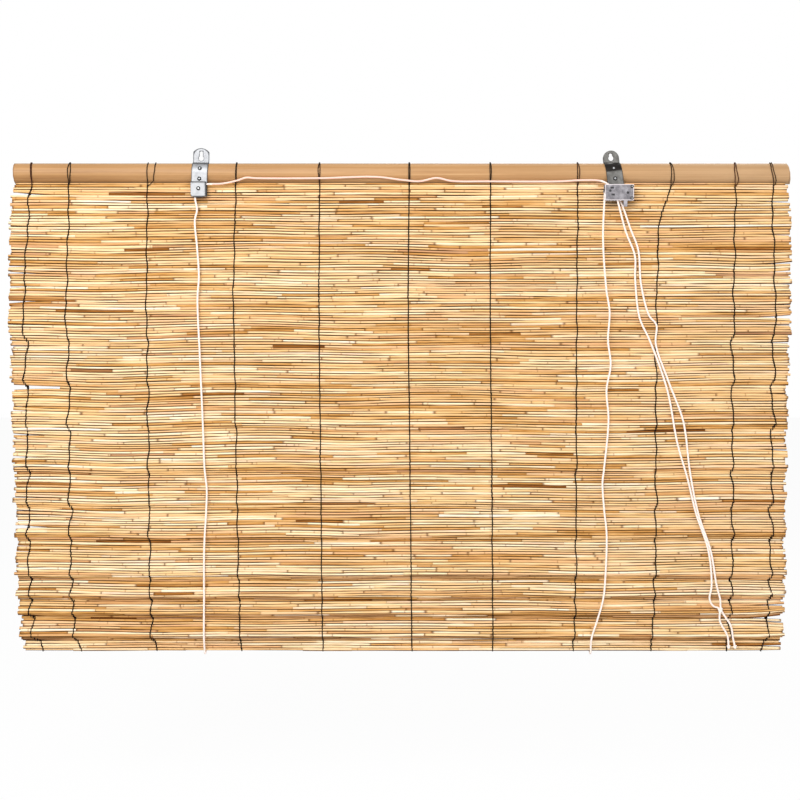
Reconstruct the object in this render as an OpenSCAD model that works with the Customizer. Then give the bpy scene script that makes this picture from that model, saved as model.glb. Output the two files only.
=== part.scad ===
// Reed roll-up blind, 1.2 m wide, let down, with its cord lock and pulley.
// Millimetres. +X is right seen from the room, +Z is up, the room lies towards -Y.
// The origin is midway between the two hanger keyholes, on the wall.

/* [Headrail] */
// Length of the split bamboo headrail
rail_len = 1200; // [1160:10:1260]
// Height of the headrail's section
rail_h = 32; // [30:0.5:35]
// How far the round face stands out from the headrail's back
rail_bulge = 12; // [10:0.5:13]
// Wall of the bamboo
rail_wall = 6; // [5:0.5:7]
// Gap between the headrail's back and the wall
rail_stand_off = 2; // [2:0.25:4]
// Headrail's top edge, below the keyholes
rail_drop = 8; // [8:0.5:10]
// Headrail's middle, left of the middle between the hangers
rail_shift = 7; // [0:1:15]

/* [Reed mat] */
// Rows of reeds
reed_rows = 187; // [184:1:192]
// Distance from one row to the next along the mat
reed_pitch = 4; // [3.9:0.05:4.2]
// Diameter of a reed
reed_d = 4.4; // [3.8:0.1:4.8]
// Thickness of the mat in the valley between two rows
valley_web = 1.8; // [1.2:0.1:2.4]
// How far the longest reeds reach past the headrail's left end
left_overhang = 8; // [6:1:10]
// How far the longest reeds reach past the headrail's right end
right_overhang = 4; // [2:1:10]
// How far the shortest reeds stop short of the longest at each end
ragged = 8; // [2:0.5:12]
// Gap between the headrail and the first reed
mat_gap = 1.8; // [1.5:0.1:3]
// Mat's middle plane, in front of the wall
mat_stand_off = 9; // [8:0.5:10]
// Depth of the deepest fold left by rolling, near the bottom
fold_depth = 9; // [0:0.5:9.5]
// Rows over which a fold steps back
fold_step = 3; // [3:1:5]
// Height of an open slit between two rows
slit_h = 0.6; // [0.3:0.1:0.8]
// Length lost from the broken reed
broken_len = 75; // [20:5:150]

/* [Warp threads] */
// Thickness of a warp thread
thread_t = 1.2; // [0.8:0.1:1.4]
// Width of a warp thread
thread_w = 1.4; // [0.8:0.1:2]

/* [Hangers] */
// Distance between the two keyholes
hanger_spacing = 636; // [600:2:640]
// Width of a hanger strap
strap_w = 25; // [22:0.5:27]
// Thickness of the steel sheet
sheet_t = 1.2; // [1:0.1:1.5]
// Radius of a keyhole's wide end
keyhole_r = 4; // [3.5:0.25:4.5]
// Width of a keyhole's slot
slot_w = 5; // [3.5:0.25:5]
// Left hanger's top, above its keyhole
left_rise = 15.5; // [13:0.5:18]
// Right hanger's top, above its keyhole
right_rise = 12; // [11:0.5:14]
// Lean of the left hanger, in degrees
left_lean = -2; // [-3:0.5:0]
// Lean of the right hanger, in degrees
right_lean = 8; // [6:0.5:9]
// Upper screw, below the keyhole
upper_screw = 17; // [15:0.5:19]
// Lower screw, below the keyhole
lower_screw = 33; // [32:0.5:35]
// Diameter of a screw's shank
screw_d = 3.2; // [2.5:0.1:3.5]
// Diameter of a screw's head
screw_head_d = 6.4; // [5.5:0.1:7]
// Length of a screw's shank
screw_len = 7; // [5:0.5:7]

/* [Pulley] */
// Radius at which the cord runs round the pulley
pulley_r = 6.5; // [6.3:0.1:7]
// Pulley's axis, below the keyholes
pulley_drop = 48.5; // [48:0.5:50]
// Width and height of the pulley's cover
cover_size = 24; // [22:0.5:25]
// Chamfer of the cover's lower corners
cover_chamfer = 5; // [2:0.5:7]

/* [Cord lock] */
// Width of the lock's housing
lock_w = 44; // [44:0.5:48]
// Height of the lock's housing
lock_h = 24.4; // [24:0.2:26]
// Housing's left edge, to the left of the right keyhole
lock_offset = 12.7; // [12:0.1:13.5]
// Housing's top edge, below the keyholes
lock_drop = 43; // [43:0.2:44]
// Radius at which the cords run round the lock's sheaves
sheave_r = 7.6; // [7.5:0.1:7.8]
// Width of the pulley and of each sheave
wheel_w = 5; // [4.6:0.1:5.4]
// Diameter of the pulley pin, the sheave axle and the pawl pin
pin_d = 4; // [3:0.2:4.4]
// Running gap beside the wheels
run_gap = 0.4; // [0.3:0.05:0.5]

/* [Cords] */
// Diameter of the cords
cord_d = 3; // [2:0.1:3.2]
// Diameter of the knot that joins the two pull cords
pull_knot_d = 9.2; // [8:0.2:10]
// Diameter of the knots at the cords' ends
end_knot_d = 6.4; // [5:0.2:6.4]

/* [Hidden] */
$fn = 64;
seat_gap = 0.3;
pin_gap = 0.05;
bore_gap = 0.1;
screw_gap = 0.1;
cut = 1;

// Headrail's section: an arc of radius rail_r about (rail_cy, rail_cz)
rail_r = (pow(rail_h / 2, 2) + pow(rail_bulge, 2)) / (2 * rail_bulge);
rail_back = -rail_stand_off;
rail_top = -rail_drop;
rail_bottom = rail_top - rail_h;
rail_cy = rail_back - rail_bulge + rail_r;
rail_cz = rail_top - rail_h / 2;

// Hanger straps hug that arc, then run straight down in front of it
strap_in_r = rail_r + seat_gap;
strap_out_r = strap_in_r + sheet_t;
strap_face = rail_cy - strap_out_r;
strap_bend_z = rail_cz + sqrt(pow(strap_in_r, 2) - pow(rail_cy, 2));
arch_share = 0.64;
left_arch_r = arch_share * strap_w;
right_arch_r = strap_w / 2;
slot_land = 4.5;
screw_head_h = 1.6;
driver_slot_w = 1;
driver_slot_d = 0.7;
hole_play = 1;

// Pulley, and where its layers lie in front of the strap
left_x = -hanger_spacing / 2;
right_x = hanger_spacing / 2;
pulley_x = left_x + pulley_drop * sin(left_lean);
pulley_z = -pulley_drop;
pin_r = pin_d / 2;
wheel_bore_r = pin_r + bore_gap;
rivet_r = 1.5;
rivet_head_r = 2.6;
rivet_head_h = 0.6;
pin_head_r = pin_r + 1.2;
pin_head_h = 0.9;
pulley_back = strap_face - run_gap;
pulley_front = pulley_back - wheel_w;
pulley_y = (pulley_back + pulley_front) / 2;
cover_back = pulley_front - run_gap;
cover_front = cover_back - sheet_t;
cover_share = 0.44;
cover_top = pulley_z + cover_share * cover_size;
left_reach = pulley_drop + cover_size / 2;

// Cord lock: layers from the strap towards the room, and places in the housing
lock_left = right_x - lock_offset;
lock_top = -lock_drop;
lock_bottom = lock_top - lock_h;
lock_right = lock_left + lock_w;
back_plate_face = strap_face - sheet_t;
rear_sheave_back = back_plate_face - run_gap;
rear_sheave_y = rear_sheave_back - wheel_w / 2;
front_sheave_back = rear_sheave_back - wheel_w - run_gap;
front_sheave_y = front_sheave_back - wheel_w / 2;
lock_cover_back = front_sheave_back - wheel_w - run_gap;
lock_cover_front = lock_cover_back - sheet_t;
sheave_side = 0.1;
sheave_sink = 0.6;
sheave_x = lock_left + sheave_r + sheave_side;
sheave_z = lock_top - sheave_r - cord_d / 2 - sheave_sink;
pawl_inset = 34.7;
pawl_drop = 12.8;
pawl_x = lock_left + pawl_inset;
pawl_z = lock_top - pawl_drop;
rivet_side = 2.8;
rivet_inset = 3.2;
rivet_x = lock_right - rivet_side;
strap_rivet_drops = [lock_drop + 5, lock_drop + 19];
cover_rivet_z = [lock_top - rivet_inset, lock_bottom + rivet_inset];
strap_tuck = 2;
right_reach = lock_drop + lock_h - strap_tuck;
pin_recess = 0.8;
cord_opening = 4;
top_wall_left = sheave_x + sheave_r + cord_opening;
windows = [[10.6, 5.2], [12, 15.7]];
window_w = 5.4;
window_h = 3.1;

// Pawl's cam and tail, about its pin
cam_outline = [[-9.2, -2.4], [-9.2, -4.2], [-5.4, -5.4], [-0.4, -6.4], [5.2, -6.2],
    [7.6, -1], [7.2, 3.2], [3.8, 6.6], [-1.2, 5.2], [-3.6, 1.2]];
tail_at = [-6, -21];
tail_size = [5.6, 16];

// Folds in the mat: rows at which it steps back, growing deeper downwards
last_row = reed_rows - 1;
fold_rows = [60, 78, 95, 112, 126, 139, 155, 164, 172, 182];
fold_table = concat([[0, 0]],
    [for (f = fold_rows) each [[f - fold_step, fold_depth * pow(f / last_row, 2)], [f, 0]]]);
reed_r = reed_d / 2;
crest_angle = 25;
row_y = [for (i = [0:last_row]) -mat_stand_off - lookup(i, fold_table)];
first_row_z = rail_bottom - mat_gap - reed_r;
row_z = [for (i = 0, z = first_row_z; i < reed_rows;
    z = z - (i < last_row ? sqrt(pow(reed_pitch, 2) - pow(row_y[i + 1] - row_y[i], 2)) : 0), i = i + 1) z];

function unit(v) = v / norm(v);
function row_at(i) = [row_y[i], row_z[i]];
function row_down(i) = unit(row_at(min(i + 1, last_row)) - row_at(max(i - 1, 0)));
function to_room(down) = [down[1], -down[0]];

// The two crest points of a row on one side, from top to bottom
function crest(i, side) =
    let (out = reed_r * cos(crest_angle) * side * to_room(row_down(i)),
        along = reed_r * sin(crest_angle) * row_down(i))
    [row_at(i) + out - along, row_at(i) + out + along];

// The valley below a row on one side
function valley(i, side) =
    (row_at(i) + row_at(i + 1)) / 2 + side * valley_web / 2 * to_room(unit(row_at(i + 1) - row_at(i)));

mat_outline = concat(
    [for (i = [0:last_row]) each concat(crest(i, 1), i < last_row ? [valley(i, 1)] : [])],
    [for (k = [0:last_row]) let (i = last_row - k, c = crest(i, -1))
        each concat([c[1], c[0]], i > 0 ? [valley(i - 1, -1)] : [])]);

// Ragged reed ends, the broken reed and the open slits, seen from the front
rail_left = -rail_shift - rail_len / 2;
mat_left = rail_left - left_overhang;
mat_right = rail_left + rail_len + right_overhang;
mat_mid = (mat_left + mat_right) / 2;
reed_len = mat_right - mat_left;
broken_row = 78;
left_short = rands(0, ragged, reed_rows, 11);
right_short = rands(0, ragged, reed_rows, 23);
slit_count = 120;
slit_first_row = 2;
shortest_slit = 70;
longest_slit = 200;
slit_margin = 0.04;
slit_len = rands(shortest_slit, longest_slit, slit_count, 5);
slit_place = rands(slit_margin, 1 - slit_margin, slit_count, 8);
function left_end(i) = mat_left + (i == broken_row ? broken_len : left_short[i]);
function right_end(i) = mat_right - right_short[i];
function row_edge(i) = i == 0 ? row_z[0] + reed_pitch
    : i > last_row ? row_z[last_row] - reed_pitch : (row_z[i - 1] + row_z[i]) / 2;

mat_front_view = concat(
    [for (i = [0:last_row]) each [[right_end(i), row_edge(i)], [right_end(i), row_edge(i + 1)]]],
    [for (k = [0:last_row]) let (i = last_row - k)
        each [[left_end(i), row_edge(i + 1)], [left_end(i), row_edge(i)]]]);

// A warp thread is a closed loop over the headrail and down both sides of the mat
thread_clear = 53;
function along_rail(share) = rail_left + share * rail_len;
thread_x = [along_rail(0.014), along_rail(0.068), along_rail(0.172), left_x + thread_clear,
    along_rail(0.394), along_rail(0.51), along_rail(0.616), right_x - thread_clear,
    along_rail(0.83), along_rail(0.929), along_rail(0.981)];
thread_gap = 0.3;
thread_back_gap = 0.2;
rail_thread_gap = 0.3;
function near_fold(i) = len([for (f = fold_rows) if (i > f - fold_step - 2 && i < f + 2) f]) > 0;
thread_rows = [for (i = [0:last_row]) if (i == 0 || i == last_row || near_fold(i)) i];
thread_last = len(thread_rows) - 1;
function beside(i, side, off) = row_at(i) + side * (reed_r + off) * to_room(row_down(i));
function under_mat(a, off) = row_at(last_row)
    + (reed_r + off) * (cos(a) * to_room(row_down(last_row)) + sin(a) * row_down(last_row));
function over_rail(a, off) = [rail_cy - (rail_r + off) * cos(a), rail_cz + (rail_r + off) * sin(a)];
function thread_loop(t) =
    let (off = thread_gap + t, rail_off = rail_thread_gap + t, back_off = thread_back_gap + t)
    concat([for (i = thread_rows) beside(i, 1, off)],
        [for (a = [45, 90, 135]) under_mat(a, off)],
        [for (k = [0:thread_last]) beside(thread_rows[thread_last - k], -1, off)],
        [[rail_back + back_off, rail_bottom - back_off], [rail_back + back_off, rail_top + back_off / 2]],
        [for (a = [70, 55, 40, 25, 10, -5, -20, -30]) over_rail(a, rail_off)]);

// Cord routes, from the stopper knot behind the headrail to the tail's end
function arc_xz(x, y, z, r, from, to, steps) =
    [for (k = [0:steps]) let (a = from + (to - from) * k / steps) [x + r * cos(a), y, z + r * sin(a)]];
function arc_yz(x, y, z, r, from, to, steps) =
    [for (k = [0:steps]) let (a = from + (to - from) * k / steps) [x, y + r * cos(a), z + r * sin(a)]];

function shifted(points, x) = [for (p = points) p + [x, 0, 0]];

left_hole_x = left_x + 8;
right_hole_x = right_x - 22;
left_turn_x = left_x + 1;
right_turn_x = right_x - 27;
hole_y = -4.5;
stopper_y = -3.6;
stopper_z = -26.5;
turn_y = -9.2;
turn_z = row_z[last_row];
turn_r = 6.2;
turn_rise = 20;
pull_knot_at = [right_x + 174.5, -22, -704];
left_tail_end = [right_x + 198, -23.5, -762];
right_tail_end = [right_x + 188, -23.4, -762];

left_route = concat(
    [[left_hole_x, stopper_y, stopper_z], [left_hole_x, hole_y, -32], [left_hole_x, hole_y, -42],
        [left_x + 5, hole_y, -300], [left_turn_x, hole_y, -700]],
    arc_yz(left_turn_x, turn_y, turn_z, turn_r, 0, -180, 4),
    [[left_turn_x, -21.8, turn_z + turn_rise]],
    shifted([[1.5, -21, -690], [2.5, -20.5, -602], [6, -20, -547], [7, -19.8, -513], [4, -19.5, -484],
        [1.5, -19.2, -406], [-2.5, -18.8, -297], [-5, -18.6, -218], [-2.5, -18.5, -183], [-5, -18.4, -138],
        [-8, -18.4, -97], [-4.5, -18.4, -81], [-7, -18.4, -66]], left_x),
    arc_xz(pulley_x, pulley_y, pulley_z, pulley_r, 180, 90, 3),
    shifted([[18, -18, -41.5], [36, -16.8, -40.5], [57, -15.8, -36], [71, -15.8, -31.5], [86, -15.8, -32.3]], left_x),
    [[-133, -15.8, -32.3], [-46, -15.8, -30.3], [-6, -15.8, -35], [21, -15.8, -37], [47, -15.8, -32],
        [70, -15.8, -36.5], [130, -15.8, -37.2]],
    shifted([[-80, -16.2, -37.2], [-50, -17, -35.7], [-16, -19.6, -37.5]], right_x),
    arc_xz(sheave_x, rear_sheave_y, sheave_z, sheave_r, 60, 30, 2),
    shifted([[12.5, -19.6, -68], [28.5, -18, -110], [41, -16.5, -142], [46.5, -15.2, -197], [59.5, -15.4, -244],
        [70.5, -15.6, -258], [70, -15.8, -288], [90, -16.4, -345], [112.5, -16.9, -403], [118, -17.2, -430],
        [125, -18, -486], [138.5, -19.1, -552], [158.5, -20.2, -611], [168.5, -21.3, -666], [174, -21.8, -687],
        [176, -22, -704], [191, -22.7, -729], [195, -23.2, -750]], right_x),
    [left_tail_end]);

right_route = concat(
    [[right_hole_x, stopper_y, stopper_z], [right_hole_x, hole_y, -32], [right_hole_x, hole_y, -42],
        [right_x - 24, hole_y, -400], [right_turn_x, hole_y, -700]],
    arc_yz(right_turn_x, turn_y, turn_z, turn_r, 0, -180, 4),
    [[right_turn_x, -21.8, turn_z + turn_rise]],
    shifted([[-18.5, -21.4, -722], [-9, -21, -687], [-5.5, -20.5, -646], [-4.5, -20.2, -583], [-8.5, -20, -547],
        [-11.5, -19.8, -503], [-9.5, -19.8, -484], [-3, -19.8, -406], [-6.5, -20, -359], [-0.5, -20.2, -320],
        [-5, -20.5, -282], [-3, -21, -238], [-8.5, -22, -204], [-14.5, -23.5, -127], [-13.2, -25, -66]], right_x),
    arc_xz(sheave_x, front_sheave_y, sheave_z, sheave_r, 180, 16, 6),
    shifted([[8.5, -25, -73], [21, -21, -115], [36, -17, -152], [37, -15, -185], [44.5, -15.3, -247],
        [60, -15.6, -281], [78, -16, -327], [90.5, -16.5, -367], [105, -17.4, -442], [121.5, -18.2, -498],
        [135, -19.1, -552], [155, -20.2, -611], [160.5, -21.3, -666], [157.5, -21.8, -687], [163.5, -22, -698],
        [172.5, -22, -702], [174, -22.6, -722], [186, -23, -745]], right_x),
    [right_tail_end]);

// Colours of the materials
bamboo = "#d1a470";
reed = "#e0ba87";
black_thread = "#2a1f1a";
bright_steel = "#d5d6d7";
grey_steel = "#969396";
dark_steel = "#5c5a5c";
off_white = "#f0e6d6";

// A YZ outline run along X, about the middle
module along_x(length) {
    rotate([90, 0, 90]) linear_extrude(length, center = true) children();
}

// An XZ outline run from one depth towards the room
module along_y(back, front) {
    translate([0, back, 0]) rotate([90, 0, 0]) linear_extrude(back - front) children();
}

// A round pin from one depth towards the room
module pin(x, z, back, front, r) {
    translate([x, back, z]) rotate([90, 0, 0]) cylinder(r = r, h = back - front);
}

// Hanger screws: place of a screw's seat and the tilt of its axis
function hanger_x(side) = side < 0 ? left_x : right_x;
function hanger_lean(side) = side < 0 ? left_lean : right_lean;
function upper_seat(side) =
    let (z = -upper_screw * cos(hanger_lean(side)), a = asin((z - rail_cz) / strap_out_r))
    [hanger_x(side) + upper_screw * sin(hanger_lean(side)), rail_cy - strap_out_r * cos(a), z, 90 - a];
function lower_seat(side) =
    [hanger_x(side) + lower_screw * sin(hanger_lean(side)), strap_face, -lower_screw * cos(hanger_lean(side)), 90];
screw_seats = [for (side = [-1, 1]) each [upper_seat(side), lower_seat(side)]];

module at_seat(seat) {
    translate([seat[0], seat[1], seat[2]]) rotate([seat[3], 0, 0]) children();
}

module screw_bores() {
    for (seat = screw_seats) {
        at_seat(seat) translate([0, 0, -screw_len - seat_gap])
            cylinder(d = screw_d + 2 * screw_gap, h = screw_len + seat_gap + cut);
    }
}

module headrail() color(bamboo) {
    difference() {
        translate([-rail_shift, 0, 0]) along_x(rail_len) rail_section();
        screw_bores();
        for (x = [left_hole_x, right_hole_x]) {
            translate([x, hole_y, rail_bottom - cut]) cylinder(d = cord_d + hole_play, h = rail_h / 2);
        }
    }
}

module rail_section() {
    intersection() {
        translate([rail_cy, rail_cz]) difference() {
            circle(rail_r);
            circle(rail_r - rail_wall);
        }
        translate([rail_back - rail_bulge - cut, rail_bottom - cut]) square([rail_bulge + cut, rail_h + 2 * cut]);
    }
}

module reed_mat() color(reed) {
    intersection() {
        translate([mat_mid, 0, 0]) along_x(reed_len + 2 * cut) polygon(mat_outline);
        along_y(0, -mat_stand_off - fold_depth - reed_d) mat_view();
    }
}

module mat_view() {
    difference() {
        polygon(mat_front_view);
        for (k = [0:slit_count - 1]) {
            translate([mat_left + slit_place[k] * (reed_len - slit_len[k]), row_edge(slit_first_row + k) - slit_h / 2])
                square([slit_len[k], slit_h]);
        }
    }
}

module warp_thread(number) color(black_thread) {
    translate([thread_x[number - 1], 0, 0]) along_x(thread_w) difference() {
        polygon(thread_loop(thread_t));
        polygon(thread_loop(0));
    }
}

module hanger_strap(side, rise, arch_r, reach) {
    difference() {
        intersection() {
            translate([hanger_x(side), 0, 0]) along_x(3 * strap_w) strap_section(rise, reach);
            translate([hanger_x(side), 0, 0]) along_y(cut, 2 * strap_face) rotate(hanger_lean(side))
                strap_outline(rise, arch_r, reach);
        }
        pin(hanger_x(side), 0, cut, -sheet_t - cut, keyhole_r);
        translate([hanger_x(side), 0, 0]) along_y(cut, -sheet_t - cut) rotate(hanger_lean(side)) {
            translate([-slot_w / 2, 0]) square([slot_w, rise - slot_land - slot_w / 2]);
            translate([0, rise - slot_land - slot_w / 2]) circle(d = slot_w);
        }
        screw_bores();
    }
}

module strap_section(rise, reach) {
    translate([-sheet_t, strap_bend_z]) square([sheet_t, rise + rail_drop]);
    intersection() {
        translate([rail_cy, rail_cz]) difference() {
            circle(strap_out_r);
            circle(strap_in_r);
        }
        translate([strap_face - cut, rail_cz]) square([cut - strap_face, 2 * strap_out_r]);
    }
    translate([strap_face, -reach]) square([sheet_t, reach + rail_cz]);
}

module strap_outline(rise, arch_r, reach) {
    intersection() {
        translate([-strap_w / 2, -reach]) square([strap_w, reach + rise]);
        union() {
            translate([0, rise - arch_r]) circle(arch_r);
            translate([-strap_w, -reach]) square([2 * strap_w, reach + rise - arch_r]);
        }
    }
}

module hanger_strap_left() color(bright_steel) {
    difference() {
        hanger_strap(-1, left_rise, left_arch_r, left_reach);
        pin(pulley_x, pulley_z, 0, strap_face - cut, pin_r + pin_gap);
    }
}

module hanger_strap_right() color(dark_steel) {
    difference() {
        hanger_strap(1, right_rise, right_arch_r, right_reach);
        strap_rivet_shanks(0, strap_face - cut, rivet_r + pin_gap);
    }
}

module hanger_screws() color(grey_steel) {
    for (seat = screw_seats) {
        at_seat(seat) {
            translate([0, 0, -screw_len]) cylinder(d = screw_d, h = screw_len + pin_gap);
            difference() {
                translate([0, 0, pin_gap]) cylinder(d = screw_head_d, h = screw_head_h);
                translate([-screw_head_d, -driver_slot_w / 2, screw_head_h + pin_gap - driver_slot_d])
                    cube([2 * screw_head_d, driver_slot_w, screw_head_h]);
            }
        }
    }
}

module grooved_wheel(x, y, z, cord_r) {
    half_step = 15;
    side_play = 0.2;
    rim_edge = 0.3;
    rim_r = cord_r + cord_d / 2;
    groove_r = cord_r * cos(half_step) - cord_d / 2 - seat_gap;
    groove_w = cord_d / 2 + side_play;
    rim_w = wheel_w / 2 - rim_edge;
    translate([x, y, z]) rotate([90, 0, 0]) rotate_extrude() polygon([
        [wheel_bore_r, -wheel_w / 2], [rim_r, -wheel_w / 2], [rim_r, -rim_w], [groove_r, -groove_w],
        [groove_r, groove_w], [rim_r, rim_w], [rim_r, wheel_w / 2], [wheel_bore_r, wheel_w / 2]]);
}

module pulley_wheel() color(grey_steel) {
    grooved_wheel(pulley_x, pulley_y, pulley_z, pulley_r);
}

module pulley_pin() color(bright_steel) {
    strap_back = strap_face + sheet_t;
    pin(pulley_x, pulley_z, strap_back, cover_front, pin_r);
    pin(pulley_x, pulley_z, strap_back + pin_head_h, strap_back, pin_head_r);
    pin(pulley_x, pulley_z, cover_front, cover_front - pin_head_h, pin_head_r);
}

module pulley_cover() color(bright_steel) {
    half = cover_size / 2;
    low = cover_top - cover_size;
    difference() {
        union() {
            along_y(cover_back, cover_front) polygon([
                [pulley_x - half, cover_top], [pulley_x + half, cover_top],
                [pulley_x + half, low + cover_chamfer], [pulley_x + half - cover_chamfer, low],
                [pulley_x - half + cover_chamfer, low], [pulley_x - half, low + cover_chamfer]]);
            along_y(strap_face, cover_back) translate([pulley_x - half, low + cover_chamfer])
                square([sheet_t, cover_size - cover_chamfer]);
        }
        pin(pulley_x, pulley_z, cover_back + cut, cover_front - cut, pin_r + pin_gap);
    }
}

// Two rivets hold the lock's back plate on the strap, two hold its cover on the back plate
module strap_rivet_shanks(back, front, r) {
    for (d = strap_rivet_drops) {
        pin(right_x + d * tan(right_lean), -d, back, front, r);
    }
}

module cover_rivet_shanks(back, front, r) {
    for (z = cover_rivet_z) {
        pin(rivet_x, z, back, front, r);
    }
}

module lock_back_plate() color(grey_steel) {
    difference() {
        along_y(strap_face, back_plate_face) translate([lock_left, lock_bottom]) square([lock_w, lock_h]);
        pin(sheave_x, sheave_z, 0, back_plate_face - cut, pin_r + pin_gap);
        pin(pawl_x, pawl_z, 0, back_plate_face - cut, pin_r + pin_gap);
        strap_rivet_shanks(0, back_plate_face - cut, rivet_r + pin_gap);
        cover_rivet_shanks(0, back_plate_face - cut, rivet_r + pin_gap);
    }
}

module lock_front_cover() color(grey_steel) {
    difference() {
        union() {
            along_y(lock_cover_back, lock_cover_front) translate([lock_left, lock_bottom]) square([lock_w, lock_h]);
            along_y(back_plate_face, lock_cover_back) {
                translate([lock_right - sheet_t, lock_bottom]) square([sheet_t, lock_h]);
                translate([top_wall_left, lock_top - sheet_t]) square([lock_right - top_wall_left, sheet_t]);
            }
        }
        pin(sheave_x, sheave_z, lock_cover_back + cut, lock_cover_front - cut, pin_r + pin_gap);
        pin(pawl_x, pawl_z, lock_cover_back + cut, lock_cover_front - cut, pin_r + pin_gap);
        cover_rivet_shanks(lock_cover_back + cut, lock_cover_front - cut, rivet_r + pin_gap);
        along_y(lock_cover_back + cut, lock_cover_front - cut) for (w = windows) {
            translate([lock_left + w[0] - window_w / 2, lock_top - w[1] - window_h / 2]) square([window_w, window_h]);
        }
    }
}

module lock_rear_sheave() color(dark_steel) {
    grooved_wheel(sheave_x, rear_sheave_y, sheave_z, sheave_r);
}

module lock_front_sheave() color(dark_steel) {
    grooved_wheel(sheave_x, front_sheave_y, sheave_z, sheave_r);
}

module sheave_axle() color(bright_steel) {
    pin(sheave_x, sheave_z, strap_face, lock_cover_front, pin_r);
}

module pawl_pin() color(bright_steel) {
    pin(pawl_x, pawl_z, strap_face, lock_cover_front + pin_recess, pin_r);
}

// The pawl: a cam as wide as both sheaves, with a tail that hangs out of the housing
module locking_pawl() color(grey_steel) {
    back = back_plate_face - run_gap;
    front = lock_cover_back + run_gap;
    tail_back = front + 2 * sheet_t;
    difference() {
        translate([pawl_x, 0, pawl_z]) {
            along_y(back, front) polygon(cam_outline);
            along_y(tail_back, front) translate(tail_at) square(tail_size);
        }
        pin(pawl_x, pawl_z, 0, lock_cover_front, wheel_bore_r);
    }
}

module lock_rivets() color(bright_steel) {
    cover_rivet_shanks(strap_face, lock_cover_front, rivet_r);
    cover_rivet_shanks(strap_face + rivet_head_h, strap_face, rivet_head_r);
    cover_rivet_shanks(lock_cover_front, lock_cover_front - rivet_head_h, rivet_head_r);
}

module strap_rivets() color(bright_steel) {
    strap_back = strap_face + sheet_t;
    strap_rivet_shanks(strap_back, back_plate_face, rivet_r);
    strap_rivet_shanks(strap_back + rivet_head_h, strap_back, rivet_head_r);
    strap_rivet_shanks(back_plate_face, back_plate_face - rivet_head_h, rivet_head_r);
}

// A cord: an eight-sided tube swept along its route
cord_sides = 8;
function ring(route, i) =
    let (way = unit(route[min(i + 1, len(route) - 1)] - route[max(i - 1, 0)]),
        across = unit(cross(way, [1, 1, 0])), up = cross(across, way))
    [for (k = [0:cord_sides - 1]) let (a = 360 * k / cord_sides)
        route[i] + cord_d / 2 * (cos(a) * across + sin(a) * up)];

module cord(route) {
    rings = len(route);
    points = [for (i = [0:rings - 1]) each ring(route, i)];
    faces = concat(
        [[for (k = [0:cord_sides - 1]) k]],
        [for (i = [0:rings - 2], k = [0:cord_sides - 1])
            let (a = i * cord_sides + k, b = i * cord_sides + (k + 1) % cord_sides)
            each [[a, a + cord_sides, b], [b, a + cord_sides, b + cord_sides]]],
        [[for (k = [0:cord_sides - 1]) rings * cord_sides - 1 - k]]);
    polyhedron(points, faces);
}

module left_cord() color(off_white) cord(left_route);
module right_cord() color(off_white) cord(right_route);

module stopper_knots() color(off_white) {
    for (x = [left_hole_x, right_hole_x]) {
        translate([x, stopper_y, stopper_z]) sphere(d = end_knot_d);
    }
}

module pull_knot() color(off_white) {
    translate(pull_knot_at) sphere(d = pull_knot_d);
}

module tail_knots() color(off_white) {
    for (p = [left_tail_end, right_tail_end]) {
        translate(p) sphere(d = end_knot_d);
    }
}

headrail();
reed_mat();
warp_thread(1);  // warp_thread_01
warp_thread(2);  // warp_thread_02
warp_thread(3);  // warp_thread_03
warp_thread(4);  // warp_thread_04
warp_thread(5);  // warp_thread_05
warp_thread(6);  // warp_thread_06
warp_thread(7);  // warp_thread_07
warp_thread(8);  // warp_thread_08
warp_thread(9);  // warp_thread_09
warp_thread(10);  // warp_thread_10
warp_thread(11);  // warp_thread_11
hanger_strap_left();
hanger_strap_right();
hanger_screws();
pulley_cover();
pulley_wheel();
pulley_pin();
lock_back_plate();
lock_front_cover();
lock_rear_sheave();
lock_front_sheave();
sheave_axle();
locking_pawl();
pawl_pin();
lock_rivets();
strap_rivets();
left_cord();
right_cord();
stopper_knots();
pull_knot();
tail_knots();
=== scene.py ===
"""Reed roll-up blind, let down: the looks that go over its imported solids.

Reeds, threads, cords, knots, the headrail and the small fasteners are modelled here and stand for their
plain solids. The sheet-metal fittings keep their solids and get a finish. Meshes, finishes and node trees
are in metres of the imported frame, and the sizes of the other classes are millimetres. +X is right seen
from the room, +Y goes into the wall, +Z is up.
"""

import logging
import math
import random
from collections.abc import Callable, Iterable, Sequence
from dataclasses import dataclass, field
from enum import Enum
from typing import Any

import bpy
import numpy as np
from bpy.types import (
    ColorRamp, Material, Node, NodeOutputs,
    NodeSocket, NodeTree, Object, World,
)
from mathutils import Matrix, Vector


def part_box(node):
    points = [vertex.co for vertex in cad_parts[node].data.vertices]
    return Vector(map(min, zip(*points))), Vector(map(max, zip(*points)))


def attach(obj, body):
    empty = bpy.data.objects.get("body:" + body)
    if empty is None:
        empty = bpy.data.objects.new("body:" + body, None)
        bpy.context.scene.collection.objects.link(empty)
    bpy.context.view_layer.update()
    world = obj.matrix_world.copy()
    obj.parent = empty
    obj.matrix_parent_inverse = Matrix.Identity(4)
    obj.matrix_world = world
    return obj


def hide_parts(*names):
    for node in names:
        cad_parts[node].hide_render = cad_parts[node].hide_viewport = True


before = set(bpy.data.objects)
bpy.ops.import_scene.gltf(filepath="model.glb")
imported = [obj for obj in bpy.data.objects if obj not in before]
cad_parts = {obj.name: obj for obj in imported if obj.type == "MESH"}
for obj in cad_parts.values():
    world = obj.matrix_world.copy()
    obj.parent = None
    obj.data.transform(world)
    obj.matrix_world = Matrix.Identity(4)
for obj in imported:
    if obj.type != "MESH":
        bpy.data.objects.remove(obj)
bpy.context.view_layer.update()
LOG = logging.getLogger("reed_blind")
MM = 0.001
BLIND = "blind"
ARC_STEP = 12.0
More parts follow.
